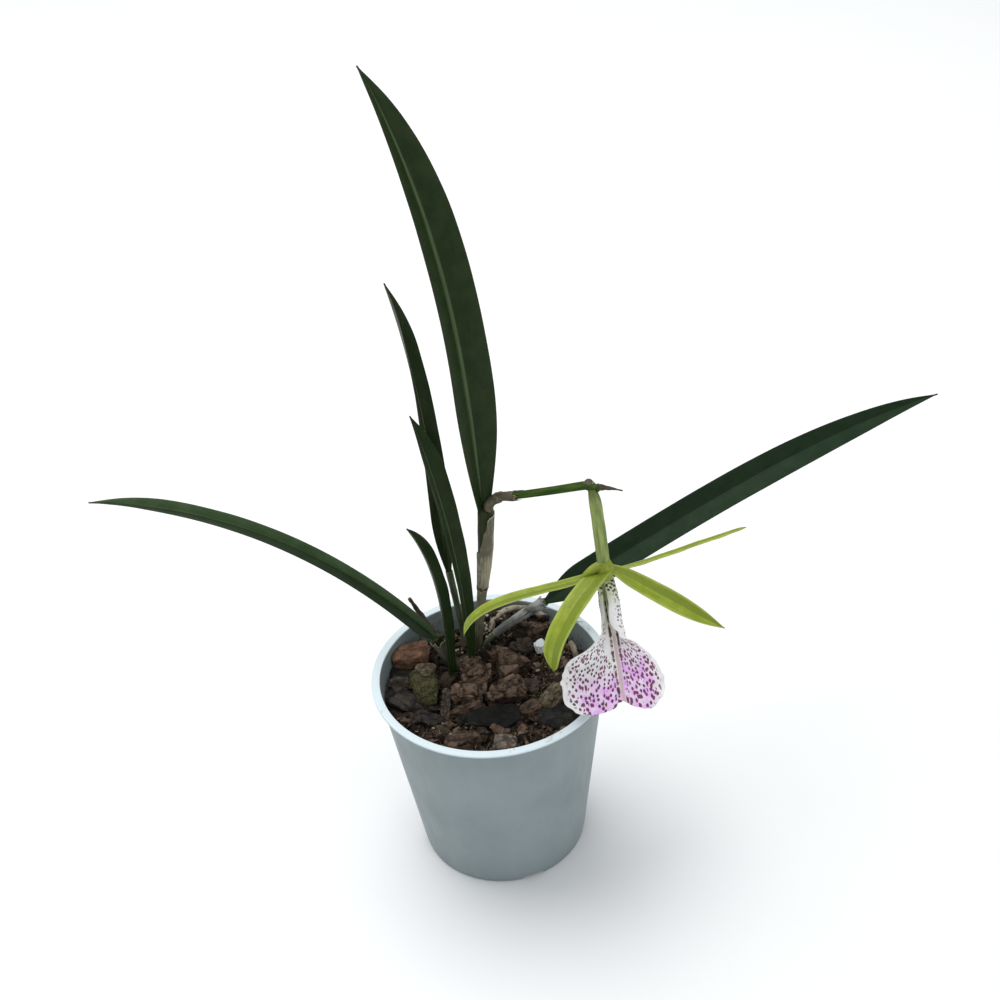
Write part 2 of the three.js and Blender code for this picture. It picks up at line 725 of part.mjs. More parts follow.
// Each material is a colour and a roughness.
const BARK_ROUGHNESS = 0.95;
const COLOURS = {
  pot: [0x8b979c, 0.45],
  bark: [0x3a2a22, BARK_ROUGHNESS],
  leaf: [0x24371f, 0.45],
  stem: [0x4a5a30, 0.6],
  sheath: [0xa39a86, 0.85],
  dry: [0x4c3a2c, 0.9],
  root: [0xb9ab8c, 0.85],
  stalk: [0x47602a, 0.5],
  tepal: [0x93a83a, 0.5],
  ovary: [0x7d9650, 0.5],
  lip: [0xe9d9e6, 0.55],
};

const plant = new THREE.Group();

function addPiece(name, geometry, colour, roughness) {
  const material = new THREE.MeshStandardMaterial({ color: colour, roughness, metalness: 0 });
  const mesh = new THREE.Mesh(geometry, material);
  mesh.name = name;
  plant.add(mesh);
}

function stemSolid({ points, radii }, options = {}) {
  return toSolid(stalk(points, radii, options));
}

function bladeSolid(blade, options) {
  return toSolid(bladeSheet(blade, options));
}

addPiece('pot', toGeometry(pot()), ...COLOURS.pot);

// The space that each piece takes, with the clearance, is cut out of what is placed after it.
const rhizomeSpace = stemSolid(RHIZOME, { grow: GAP });
const bedCutters = [rhizomeSpace];
addPiece('rhizome', stalk(RHIZOME.points, RHIZOME.radii), ...COLOURS.stem);

// Stems and roots start inside the rhizome and are trimmed to clear it.
for (const [name, stem] of Object.entries(STEMS)) {
  addPiece(name, toGeometry(cutBy(stemSolid(stem), [rhizomeSpace])), ...COLOURS.stem);
  bedCutters.push(stemSolid(stem, { grow: GAP }));
}

for (const [name, blade] of Object.entries(LEAVES)) {
  addPiece(name, bladeSheet(blade, LEAF_GRID), ...COLOURS.leaf);
  const low = blade.base[2] < BED.level + BED.heapHeight;
  if (low) bedCutters.push(bladeSolid(blade, { ...LEAF_GRID, grow: GAP }));
}

for (const [name, root] of Object.entries(ROOTS)) {
  const solid = cutBy(stemSolid(root, { sides: THIN_SIDES }), [rhizomeSpace]);
  addPiece(name, toGeometry(solid), ...COLOURS.root);
  bedCutters.push(stemSolid(root, { sides: THIN_SIDES, grow: GAP }));
}

addPiece('dead_stub', stalk(DEAD_STUB.points, DEAD_STUB.radii, { sides: THIN_SIDES }), ...COLOURS.dry);
bedCutters.push(stemSolid(DEAD_STUB, { sides: THIN_SIDES, grow: GAP }));

const potSpace = bedCore(POT.height);
for (const [name, chip] of Object.entries(BARK)) {
  const block = placedBlock(chip).intersect(potSpace);
  addPiece(name, toGeometry(cutBy(block, bedCutters)), chip.tint, BARK_ROUGHNESS);
  bedCutters.push(placedBlock(chip, GAP));
}

addPiece('bark_bed', toGeometry(bed(bedCutters, potSpace)), ...COLOURS.bark);

for (const [name, cover] of Object.entries(SHEATHS)) {
  addPiece(name, sheath(cover), ...COLOURS.sheath);
}

// The stalk rises from the fold of the tall leaf, and the ovary hangs from its joint.
const leafSpace = bladeSolid(LEAVES.leaf_a, { ...LEAF_GRID, grow: GAP });
addPiece('stalk_bract', toGeometry(cutBy(toSolid(sheath(STALK_BRACT)), [leafSpace])), ...COLOURS.dry);
addPiece('flower_stalk', toGeometry(cutBy(stemSolid(FLOWER_STALK), [leafSpace])), ...COLOURS.stalk);
addPiece('dried_tip', stalk(DRIED_TIP.points, DRIED_TIP.radii, { sides: THIN_SIDES }), ...COLOURS.dry);

const stalkSpace = stemSolid(FLOWER_STALK, { grow: GAP });
const tipSpace = stemSolid(DRIED_TIP, { sides: THIN_SIDES, grow: GAP });
addPiece('ovary', toGeometry(cutBy(stemSolid(OVARY), [stalkSpace, tipSpace])), ...COLOURS.ovary);

const flowerCutters = [stemSolid(OVARY, { grow: GAP })];
const column = cutBy(stemSolid(COLUMN, { sides: THIN_SIDES }), flowerCutters);
addPiece('column', toGeometry(column), ...COLOURS.ovary);
flowerCutters.push(stemSolid(COLUMN, { sides: THIN_SIDES, grow: GAP }));

for (const [name, blade] of Object.entries(TEPALS)) {
  const tepal = cutBy(bladeSolid(blade, TEPAL_GRID), flowerCutters);
  addPiece(name, toGeometry(tepal), ...COLOURS.tepal);
  flowerCutters.push(bladeSolid(blade, { ...TEPAL_GRID, grow: GAP }));
}

const lip = toSolid(sheet(lipPlace(), LIP.rows, LIP.columns, () => LIP.thickness));
addPiece('lip', toGeometry(cutBy(lip, flowerCutters)), ...COLOURS.lip);

export default plant;
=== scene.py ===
# The potted orchid of the photograph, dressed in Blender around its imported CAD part.
# All sizes are in millimetres until a mesh is made. The frame is the CAD's: +Z up, -Y to the
# front, the origin in the middle of the pot's underside.

import math

import bmesh
import bpy
import numpy as np
from mathutils import Matrix, Vector


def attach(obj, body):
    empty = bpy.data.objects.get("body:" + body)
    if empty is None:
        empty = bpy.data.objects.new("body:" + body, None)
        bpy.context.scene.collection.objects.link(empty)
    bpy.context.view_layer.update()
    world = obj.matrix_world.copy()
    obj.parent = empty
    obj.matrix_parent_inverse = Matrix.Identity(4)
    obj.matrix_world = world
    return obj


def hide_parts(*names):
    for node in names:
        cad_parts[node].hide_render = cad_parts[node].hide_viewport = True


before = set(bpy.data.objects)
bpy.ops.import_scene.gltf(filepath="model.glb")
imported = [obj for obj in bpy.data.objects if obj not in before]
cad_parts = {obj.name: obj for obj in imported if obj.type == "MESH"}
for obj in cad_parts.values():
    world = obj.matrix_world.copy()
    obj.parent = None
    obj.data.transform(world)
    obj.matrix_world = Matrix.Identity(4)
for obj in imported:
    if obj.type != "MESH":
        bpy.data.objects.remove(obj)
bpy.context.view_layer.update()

MM = 0.001

# Driving dimensions. The pot, stems, leaves, roots and stalk are the CAD part's. The bark's chips and
# heaps and the flower are near the CAD part's, and fitted closer to the photograph.

POT = {
    "height": 109.0, "rim": 60.0, "top": 57.0, "foot": 43.0, "flange": 1.3, "wall": 1.2, "floor": 4.6,
    "floor_bend": 2.0, "foot_bend": 1.4, "edge": 0.4, "groove": (21.0, 36.0), "groove_depth": 3.0,
    "groove_slope": 1.5, "facets": 240, "notches": 4, "notch_azimuth": -74.0, "notch_width": 12.5,
    "notch_height": 3.1, "drains": 6, "drain_radius": 4.0, "drain_circle": 28.5,
}
BED_LEVEL = 94.0
# The bark is heaped up: against the wall at the back, at the roots' feet and round the tall shoot's.
HEAPS = [
    {"at": (17, 45), "reach": (25, 12), "height": 11.0, "turn": -18.0},
    {"at": (-1, 40), "reach": (9, 8), "height": 5.5, "turn": 0.0},
    {"at": (-5, 24), "reach": (6.5, 4.5), "height": 8.0, "turn": 0.0},
]
# The space that pieces leave to the pot's wall and round the stems.
GAP = 0.35

STEMS = {
    "pseudobulb_a": {
        "points": [(-5, 27, 92), (-5, 27, 101), (-1.5, 27, 130), (2.5, 27, 160), (5.2, 26.1, 190)],
        "radii": [1.9, 1.7, 1.8, 3.4, 4],
    },
    "stem_b": {
        "points": [(-12.5, 30, 92), (-12, 36, 99.5), (-14, 38.6, 122), (-16.1, 39, 143.7)],
        "radii": [1.9, 1.8, 1.7, 1.9],
    },
    "stem_c": {
        "points": [(-12.5, 24, 92), (-10.5, 20.8, 94.5), (-9.5, 19.3, 98)],
        "radii": [2.2, 2.6, 3.3],
    },
    "stem_d": {
        "points": [(-21, 12.5, 92), (-20.6, 13.5, 94), (-20.3, 14, 97)],
        "radii": [2.2, 2.6, 3.2],
    },
    "stem_e": {
        "points": [(-19.5, 19.5, 92), (-20.5, 21, 98), (-23.5, 20.4, 109), (-26.2, 20, 116.8)],
        "radii": [2.2, 2.4, 2.5, 2.7],
    },
    "stem_f": {
        "points": [
            (-1, 31, 92), (-0.5, 31.4, 100.5), (7.6, 31.2, 108.4), (20, 30.7, 117.8), (31.3, 30, 124.9)],
        "radii": [1.4, 1.4, 1.7, 2, 2.2],
    },
}
RHIZOME = {
    "points": [(-25, 8, 93), (-21, 15, 93.5), (-15, 24, 93.5), (-8, 28, 93.5), (2, 31, 93.5), (9, 36, 92)],
    "radii": [2.2, 3.2, 3.5, 3.5, 3.3, 2.2],
}

# A blade's base, its heading, elevation and roll in degrees at the base and at the tip, its size,
# and how its width grows from the root to where it is full and falls from the taper to the tip.
BLADE_KEYS = (
    "base", "heading", "elevation", "bend", "length", "width", "roll", "fold", "root", "full", "taper",
    "tip", "thickness",
)


def blade_table(rows):
    return {name: dict(zip(BLADE_KEYS, values)) for name, values in rows.items()}


LEAVES = blade_table({
    "leaf_a": (
        (3.6, 27, 190.4), (134, 129), (88.8, 48), 2, 219, 26.2, (-21, 3), 35, 0.31, 0.31, 0.51, 2.9, 2),
    "leaf_b": (
        (-16.1, 39, 144.1), (134, 147), (87, 74.5), 2.4, 160.5, 13.2, (-52, 24), 36, 0.24, 0.24, 0.77,
        2.2, 1.6),
    "leaf_c": (
        (-9.4, 19.3, 98.3), (137.6, 136.2), (90, 68), 1.4, 145.5, 14.9, (-4, 6), 31, 0.34, 0.78, 0.78,
        1.9, 1.7),
    "leaf_d": (
        (-20.3, 14, 97.5), (145, 168), (89.6, 60), 2.6, 93, 13.2, (-3, 4), 29, 0.48, 0.74, 0.79, 2, 1.5),
    "leaf_e": (
        (-26.6, 20, 117.4), (157, 175), (44, 4), 1, 190, 10.2, (-65, -4), 35, 0.4, 0.06, 0.75, 2.4, 1.8),
    "leaf_f": (
        (31.9, 30, 125.2), (9.5, 24), (25.5, -3.5), 1.7, 237, 17.6, (33, 27), 15, 0.19, 0.1, 0.45, 2.5,
        2),
})
TEPALS = blade_table({
    "sepal_front": (
        (57.2, -7.2, 170.8), (236, 213.6), (3.4, -96.7), 1.46, 60.3, 12.7, (12, 5), 12, 0.84, 0.2,
        0.77, 3.2, 0.9),
    "sepal_right": (
        (61.5, -4.3, 168.6), (30, 8), (-26, 11), 0.45, 75.2, 6.3, (-20, -24), 8, 0.7, 0.37, 0.85, 5,
        0.9),
    "sepal_back": (
        (59.9, -2, 171), (90, 90), (-62, -92), 0.35, 49, 6.5, (0, 0), 8, 0.45, 0.3, 0.6, 2.3, 0.9),
    "petal_left": (
        (57.6, -5.6, 168.6), (201.4, 161.7), (0.2, -81.6), 2.8, 81.5, 6.2, (7.5, -22), 12, 0.9, 0.12,
        0.88, 2.5, 0.9),
    "petal_right": (
        (61.2, -6.4, 171.4), (-12.6, -31.7), (-30.3, -16.4), 1.65, 61.4, 9.6, (8.7, 72), 12, 0.6, 0.19,
        0.41, 2.9, 0.9),
})

# The lip: which ways its middle line and its inner face point, distances along it, the radius of its
# curl and the width of each half along it, and its lobes, frills and waves.
LIP = {
    "base": (58.9, -3.2, 160.2), "down": (0.05, -0.68, -0.73), "front": (0, -0.73, 0.68), "length": 56.2,
    "claw": 26.0, "opens": 24.0, "flat": 40.0,
    "left_curl": [(0, 3.9), (9, 4.7), (19, 5.1), (26, 9), (31, 25), (36, 60), (45, 90)],
    "right_curl": [(0, 3.9), (9, 4.7), (24, 5), (28, 6), (31, 14), (37, 60)],
    "left_arc": [
        (0, 9.6), (9, 11.4), (19, 10), (26, 10.5), (30.5, 15.8), (33, 22), (36, 25.8), (45, 28.3), (53, 27),
        (57, 20)],
    "right_arc": [
        (0, 13.3), (9, 15.6), (22, 15.2), (28, 12.4), (31, 12.2), (36.5, 17.4), (41, 20), (47, 21.6),
        (54, 19.5), (57, 14.5)],
    "lobes": 5.2, "lobe_turn": 130.0, "left_turn": 6.0, "right_turn": 30.0, "wave": 1.2, "waves": 4,
    "right_wave_shift": 80.0,
}

FLOWER_STALK = {
    "points": [
        (6.6, 23.9, 190.8), (7.3, 23.7, 194), (11.2, 22.1, 198.6), (19.7, 18, 201.8), (36.5, 9.3, 208.8),
        (51.5, 1.5, 215.4), (53.2, 0.6, 216), (54.8, -0.2, 216.1)],
    "radii": [1.6, 1.7, 1.8, 1.85, 1.95, 2.1, 2.6, 2.1],
}
OVARY = {
    "points": [
        (54.6, -0.6, 214.5), (55.7, -1.7, 207.5), (56.7, -2.9, 196), (57.6, -4.3, 183), (58.2, -5.3, 174.6)],
    "radii": [2, 2.9, 3.1, 3, 3],
}
COLUMN = {
    "points": [(58.9, -6.4, 169.6), (58.9, -8.5, 164), (58.6, -11, 159.8), (58.2, -12.6, 158)],
    "radii": [1.9, 1.6, 1.5, 1.1],
}
# The swelling where the petals and sepals meet, and its shoulder towards the left ones.
HUB = [
    {"points": [(58.2, -5.8, 175.5), (58.7, -6.6, 171.5), (59, -7.4, 167.5)], "radii": [3.3, 4.3, 3]},
    {"points": [(57.5, -6.5, 174), (52.5, -7.8, 173), (47, -9.5, 170.5)], "radii": [2.8, 2.1, 0.8]},
]
DRIED_TIP = {
    "points": [
        (55.4, -0.5, 215.9), (58.2, -1.1, 215.5), (61, -1.5, 215), (64.6, -2.2, 214.5), (68.4, -3, 213.6)],
    "radii": [1.5, 1.4, 0.9, 0.7, 0.35],
}
ROOTS = {
    "aerial_root_a": {
        "points": [
            (1, 39, 93), (3, 43, 101.5), (7.5, 46.3, 105.3), (14.5, 48.3, 107.2), (21.5, 47.4, 107.2),
            (28, 44, 105.8), (32, 41, 103), (33.5, 39, 95)],
        "radii": [1.8, 1.8],
    },
    "aerial_root_b": {
        "points": [(36.5, 36, 92), (36.6, 35, 100), (37.4, 32, 103.4), (38.6, 29, 101.5), (39, 28, 92)],
        "radii": [1.4, 1.4],
    },
    "aerial_root_c": {
        "points": [
            (42.6, 24.6, 92), (42.4, 23.6, 100.5), (43.2, 20, 102.2), (44.2, 16, 100), (44.6, 15, 92)],
        "radii": [1.4, 1.4],
    },
}
DEAD_STUB = {
    "points": [(-22, 30.5, 92), (-24, 31, 101), (-30, 33.5, 114), (-37.8, 36.5, 130.5)],
    "radii": [2, 2, 1.7, 0.9],
}


def chip(at, size, turn, look, **shape):
    """A larger chip: its place, size, turns about Z, X and Y, its look, and how it is shaped."""
    return at, size, turn, look, shape


CHIPS = {
    "chip_red_round": chip(
        (-40, 24.5, 102.6), (21, 15, 6.5), (14, 5, 2), "red", flats=6, cap=0.7, crumble=0.25, lump=5,
        press=0.45),
    "chip_mossy": chip(
        (-33.5, 4.5, 98), (14, 27, 11), (12, 10, -4), "olive", flats=6, crumble=0.5, lump=6),
    "chip_slab_upper": chip(
        (-45.5, 9.5, 97), (15, 9, 7), (-10, 0, 4), "umber", layers=5, crumble=0.3, press=0.45),
    "chip_slab_lower": chip(
        (-43, -4, 96), (25, 13, 7), (-40, 0, 4), "black", layers=3, cap=0.7, crumble=0.25, lump=9,
        press=0.45),
    "chip_black_left": chip(
        (-34, -17.5, 95), (16, 12, 7), (-28, -4, 4), "black", layers=3, crumble=0.25),
    "chip_sliver_upright": chip(
        (-24, -10.5, 97), (6, 22, 7), (-6, 12, 0), "umber", flats=7, crumble=0.3, press=0.75, layers=2),
    "chip_sliver_long": chip(
        (-13, -13.5, 97), (24, 7, 6), (10, -6, -6), "rust", layers=4, crumble=0.3, press=0.8),
    "clump_upper_left": chip(
        (-7.5, 10.5, 98.5), (16, 19, 12), (20, 0, 0), "brown", crumble=1.2, lump=6.5, seed=5),
    "clump_upper_right": chip(
        (11, 14, 99.5), (20, 27, 13), (0, 4, 5), "brown", crumble=0.7, lump=11, cap=0.75, seed=8,
        press=0.5, flats=3, cuts=((-1, 0, 0, 0.72), (0.57, 0.82, 0, 0.38), (0.44, -0.9, 0, 0.62))),
    "clump_lower_left": chip(
        (-11.5, -4, 98), (19, 17, 11), (-15, 0, 0), "brown", crumble=1.2, lump=7.5, seed=2),
    "clump_lower_right": chip(
        (7, -4.5, 98), (21, 16, 11), (8, 0, 0), "brown", crumble=1.1, lump=7, seed=9),
    "chip_black_hollow": chip(
        (-0.5, -21, 95.5), (29, 16, 9), (4, 8, 0), "coal", flats=5, hollow=5.0, crumble=0.2, lump=7),
    "chip_red_front": chip(
        (-17, -34.5, 95.5), (18, 13, 8), (18, -10, 0), "rust", flats=7, cap=0.7, crumble=0.25, lump=6),
    "chip_grey_front": chip(
        (3, -39, 95.5), (13, 12, 7), (-12, -12, 0), "grey", flats=8, cap=0.75, crumble=0.3),
    "chip_black_slab": chip(
        (31, -24.5, 95.5), (20, 18, 7), (-35, 0, -4), "slate", flats=6, cap=0.8, crumble=0.2, lump=8),
    "chip_olive": chip(
        (30.5, -11, 97), (18, 10, 9), (50, 4, 0), "tan", flats=7, crumble=0.3, lump=6, press=0.5),
    "chip_back": chip((26.5, 37, 99), (14, 10, 13), (15, 0, 0), "brown", crumble=0.7, lump=6),
    "perlite": chip(
        (26.5, 27, 98), (6.5, 7.5, 6.5), (0, 0, 0), "white", flats=9, crumble=0.3, lump=2.5, press=0.7),
}
# Chips that lie on or between those.
LOOSE_CHIPS = {
    "loose_slab_on_moss": chip(
        (-33, 11.5, 103.6), (11, 8, 3), (-8, 6, 0), "tan", flats=5, cap=0.6, crumble=0.2),
    # A coal-black block under the red chip, standing for the shadow beneath it: painted shadow.
    "painted_shadow_block_under_red": chip(
        (-44.5, 18, 96.5), (16, 10, 7), (10, 0, 0), "coal", flats=7, crumble=0.25),
    "loose_slab_behind": chip(
        (18, 31, 96.5), (14, 12, 5), (-20, 6, 0), "umber", flats=6, cap=0.7, crumble=0.2),
    "loose_chip_front": chip(
        (18.5, -18, 96.5), (12, 10, 7), (30, 0, 0), "rust", flats=6, cap=0.8, crumble=0.3),
    "loose_chip_middle": chip((19, -1, 96), (12, 9, 6), (-20, 0, 0), "umber", flats=6, crumble=0.4),
}
# Chips longer than this have finer meshes. Nothing small lies on this share of a chip's width.
SMALLEST_DETAILED = 13.0
CHIP_COVER = 0.86

# Heaps of fine debris and of pale crumbs on the bark: x, y, spread and count.
DEBRIS = [
    (30, -2, 5, 50), (34, 8, 5, 45), (21, -34, 5, 60), (-30, -30, 6, 40), (-14, -27, 4, 30),
    (22, 2, 4, 40), (-24, 2, 3, 20), (38, 20, 5, 40), (18, 40, 8, 30),
]
PALE_CRUMBS = [
    (-1, 40, 3, 34), (5, 44, 3, 12), (-2, 33, 2, 12), (-4.5, 30, 1.5, 8), (-14, 30, 3, 8),
    (38, 18, 4, 14), (-30, -24, 5, 5), (24, 4, 5, 8),
]
# Small chips and crumbs: how many in all or in which heaps, the span of their lengths, how finely
# they are made, their look, how far they stand out of the bed, and how flat they are.
SMALL_BARK = {
    "bark_small_chips_dark": (210, (4, 10), 2, "dark", (0.2, 1.8), 0.5),
    "bark_small_chips_brown": (130, (3.5, 9), 2, "brown", (0.4, 2.0), 0.5),
    "bark_crumbs": (420, (1.0, 3), 1, "brown", (0.5, 2.4), 0.5),
    "bark_crumbs_dark": (360, (1.0, 2.6), 1, "dark", (0.5, 2.6), 0.5),
    "bark_flakes": (DEBRIS, (0.9, 2.4), 1, "rust", (1.2, 3.2), 0.3),
    "pale_crumbs": (PALE_CRUMBS, (1.0, 2.8), 1, "cream", (1.2, 3.4), 0.7),
}
# Moss and crumbs strewn on single chips: how many, the span of their sizes, their look and seed.
STREWN = {
    "chip_moss": ("chip_mossy", 240, (0.4, 1.1), "olive", 81),
    "chip_olive_moss": ("chip_olive", 20, (0.4, 1.0), "olive", 82),
    "plate_crumbs": ("clump_upper_right", 26, (0.4, 1.2), "brown", 88),
    "clump_upper_left_crumbs": ("clump_upper_left", 45, (0.4, 1.6), "brown", 83),
    "clump_lower_left_crumbs": ("clump_lower_left", 45, (0.4, 1.6), "brown", 84),
    "clump_lower_right_crumbs": ("clump_lower_right", 45, (0.4, 1.6), "brown", 85),
    "clump_pale_crumbs": ("clump_upper_left", 16, (0.5, 1.4), "cream", 87),
}
# Dirt on the rim: round which azimuth, its spread in degrees, and how many crumbs and hairs.
RIM_DIRT = ((-64, 6, 22, 5), (-78, 7, 12, 2), (30, 6, 8, 9), (120, 50, 6, 1))

# Numbers and curves


def unit(vectors):
    """Vectors of length one."""
    return vectors / np.maximum(np.linalg.norm(vectors, axis=-1, keepdims=True), 1e-9)


def smooth(table, x):
    """The values at x of a table of (x, value) pairs, on a smooth curve through them."""
    xs, ys = np.array(table, float).T
    slope = np.gradient(ys, xs)
    i = np.clip(np.searchsorted(xs, x, side="right") - 1, 0, len(xs) - 2)
    step = xs[i + 1] - xs[i]
    k = np.clip((x - xs[i]) / step, 0, 1)
    return (
        (2 * k**3 - 3 * k**2 + 1) * ys[i] + (k**3 - 2 * k**2 + k) * step * slope[i]
        + (3 * k**2 - 2 * k**3) * ys[i + 1] + (k**3 - k**2) * step * slope[i + 1]
    )


def smoothstep(x, low, high):
    """From 0 at low to 1 at high, eased at both."""
    k = np.clip((x - low) / (high - low), 0, 1)
    return k * k * (3 - 2 * k)


def scrambled(cell, seed):
    """A random value from -1 to 1 for each cell, which is given by three whole numbers."""
    x, y, z = np.moveaxis(cell, -1, 0)
    mixed = (x * 73856093) ^ (y * 19349663) ^ (z * 83492791) ^ (seed * 2971215073)
    mixed = (mixed ^ (mixed >> 13)) * 1274126177 & 0x7FFFFFFF
    return ((mixed ^ (mixed >> 15)) & 0xFFFF) / 32767.5 - 1


def lattice(points, seed):
    """Smooth random values from -1 to 1, with one lump to each unit cell."""
    cell = np.floor(points).astype(np.int64)
    part = points - cell
    ease = part**3 * (part * (part * 6 - 15) + 10)
    total = np.zeros(points.shape[:-1])
    for corner in np.ndindex(2, 2, 2):
        total += scrambled(cell + corner, seed) * np.prod(np.where(corner, ease, 1 - ease), axis=-1)
    return total


def rough(points, size, seed, octaves=4, gain=0.5):
    """Noise whose largest lumps are size across, with finer and finer lumps on them."""
    points = np.asarray(points, float)
    total = np.zeros(points.shape[:-1])
    share = 1.0
    for octave in range(octaves):
        total += share * lattice(points / size + 7.3 * seed, seed + octave)
        size *= 0.5
        share *= gain
    return total


def shards(points, size, seed):
    """Broken bark: flat faces, each with its own height and tilt, parted by cracks. Gives the
    height, from about -1 to 1, and how deep in a crack each point is, from 0 to 1."""
    points = np.asarray(points, float) / size
    cell = np.floor(points).astype(np.int64)
    nearest = np.full(points.shape[:-1], 9.0)
    second = nearest.copy()
    height = np.zeros(points.shape[:-1])
    for step in np.ndindex(3, 3, 3):
        here = cell + step - 1
        middle = here + 0.5 + 0.42 * np.stack([scrambled(here, seed + k) for k in (1, 2, 3)], -1)
        away = points - middle
        distance = np.linalg.norm(away, axis=-1)
        tilt = np.stack([scrambled(here, seed + k) for k in (4, 5, 6)], -1)
        face = 0.6 * scrambled(here, seed + 7) + 0.8 * np.sum(away * tilt, axis=-1)
        closer = distance < nearest
        height = np.where(closer, face, height)
        second = np.where(closer, nearest, np.minimum(second, distance))
        nearest = np.minimum(nearest, distance)
    return height, smoothstep(nearest - second, -0.16, 0.0)


def curve(points, share):
    """Points of a centripetal Catmull-Rom spline, at shares of its length in control points."""
    p = np.array(points, float)
    p = np.vstack([2 * p[0] - p[1], p, 2 * p[-1] - p[-2]])
    at = np.clip(share, 0, 1) * (len(points) - 1)
    i = np.minimum(at.astype(int), len(points) - 2)
    k = (at - i)[:, None]
    a, b, c, d = (p[i + n] for n in range(4))
    ab, bc, cd = (np.sqrt(np.linalg.norm(q - r, axis=1))[:, None] for q, r in ((b, a), (c, b), (d, c)))
    leave = ((b - a) / ab - (c - a) / (ab + bc) + (c - b) / bc) * bc
    arrive = ((c - b) / bc - (d - b) / (bc + cd) + (d - c) / cd) * bc
    return (
        (2 * k**3 - 3 * k**2 + 1) * b + (k**3 - 2 * k**2 + k) * leave
        + (3 * k**2 - 2 * k**3) * c + (k**3 - k**2) * arrive
    )


def frames(centres):
    """Tangents and two directions across them, which turn as little as they can."""
    tangent = unit(np.gradient(centres, axis=0))
    seed = np.array([1.0, 0, 0]) if abs(tangent[0][0]) < 0.8 else np.array([0, 1.0, 0])
    side = unit(seed - tangent[0] * (seed @ tangent[0]))
    sides = []
    for t in tangent:
        side = unit(side - t * (side @ t))
        sides.append(side)
    sides = np.array(sides)
    return tangent, sides, np.cross(tangent, sides)


# Forms: vertices, faces, and what the materials read at each vertex


class Form:
    """A closed mesh. grain is a place on the surface in millimetres, place a share from edge to
    edge and end to end, and tint a number from 0 to 1: a tone, which on bark also carries painted
    shade in cracks and seams and painted light on raised faces."""

    def __init__(self, vertices, faces, grain=None, place=None, tint=0.5):
        count = len(vertices)
        self.vertices = np.asarray(vertices, float)
        self.faces = faces
        self.grain = self.vertices.copy() if grain is None else np.asarray(grain, float)
        self.place = np.zeros((count, 3)) if place is None else np.asarray(place, float)
        self.tint = np.full(count, float(tint)) if np.isscalar(tint) else np.asarray(tint, float)
        if self.volume() < 0:
            self.faces = [tuple(reversed(face)) for face in faces]

    def volume(self):
        total = 0.0
        for size in (3, 4):
            some = np.array([face for face in self.faces if len(face) == size])
            for k in range(1, size - 1) if len(some) else ():
                a, b, c = (self.vertices[some[:, n]] for n in (0, k, k + 1))
                total += np.einsum("ij,ij->i", a, np.cross(b, c)).sum() / 6
        return total


def joined(forms):
    """Several forms as one."""
    start = np.cumsum([0] + [len(form.vertices) for form in forms])
    whole = Form(forms[0].vertices, forms[0].faces)
    whole.vertices = np.vstack([form.vertices for form in forms])
    whole.grain = np.vstack([form.grain for form in forms])
    whole.place = np.vstack([form.place for form in forms])
    whole.tint = np.concatenate([form.tint for form in forms])
    whole.faces = [
        tuple(index + first for index in face)
        for form, first in zip(forms, start) for face in form.faces]
    return whole


def ring_faces(rings, around):
    """Quads between rings of points."""
    i, j = np.meshgrid(np.arange(rings - 1), np.arange(around), indexing="ij")
    a = (i * around + j).ravel()
    b = (i * around + (j + 1) % around).ravel()
    return np.stack([a, b, b + around, a + around], axis=1).tolist()


def loft(rings, grain, place, tint=0.5):
    """A closed form through rings of points, with a point in the middle of each end."""
    count, around, _ = rings.shape
    faces = [tuple(face) for face in ring_faces(count, around)]
    first = count * around
    for j in range(around):
        after = (j + 1) % around
        faces.append((first, after, j))
        faces.append((first + 1, first - around + j, first - around + after))

    def with_ends(values):
        flat = values.reshape(-1, 3)
        return np.vstack([flat, values[0].mean(0), values[-1].mean(0)])

    return Form(with_ends(rings), faces, with_ends(grain), with_ends(place), tint)


def tube(points, radii, steps=40, sides=16, relief=None, ends=(0.6, 0.6)):
    """A round piece along a curve. relief(share, angle, centres) changes the radius by a share,
    and ends are the heights of the round ends, in radii."""
    share = np.linspace(0, 1, steps + 1)
    centres = curve(points, share)
    radius = smooth(list(zip(np.linspace(0, 1, len(radii)), radii)), share)
    tangent, side, other = frames(centres)
    round_up = np.sin(np.linspace(0, 1, 5)[:-1] * math.pi / 2)
    rows = [(0, np.sqrt(1 - (1 - k) ** 2), -(1 - k) * ends[0]) for k in round_up]
    rows += [(i, 1.0, 0.0) for i in range(steps + 1)]
    rows += [(steps, np.sqrt(1 - (1 - k) ** 2), (1 - k) * ends[1]) for k in round_up[::-1]]
    index = np.array([row[0] for row in rows])
    scale = np.maximum(np.array([row[1] for row in rows]), 0.05) * radius[index]
    shift = np.array([row[2] for row in rows]) * radius[index]
    middle = centres[index] + tangent[index] * shift[:, None]
    angle = np.linspace(0, 2 * math.pi, sides, endpoint=False)
    wide = np.repeat(scale[:, None], sides, axis=1)
    if relief:
        wide = wide * (1 + relief(share[index][:, None], angle[None, :], middle[:, None]))
    turn = angle[:, None]
    across = side[index][:, None] * np.cos(turn) + other[index][:, None] * np.sin(turn)
    rings = middle[:, None] + across * wide[..., None]
    run = np.concatenate([[0], np.cumsum(np.linalg.norm(np.diff(middle, axis=0), axis=1))])
    shape = rings.shape[:2]
    grain = np.stack([
        np.broadcast_to(angle * np.mean(radii), shape), np.broadcast_to(run[:, None], shape),
        np.zeros(shape)], -1)
    place = np.stack([
        np.broadcast_to(np.cos(angle), shape), np.broadcast_to(share[index][:, None], shape),
        np.broadcast_to(np.sin(angle), shape)], -1)
    return loft(rings, grain, place)


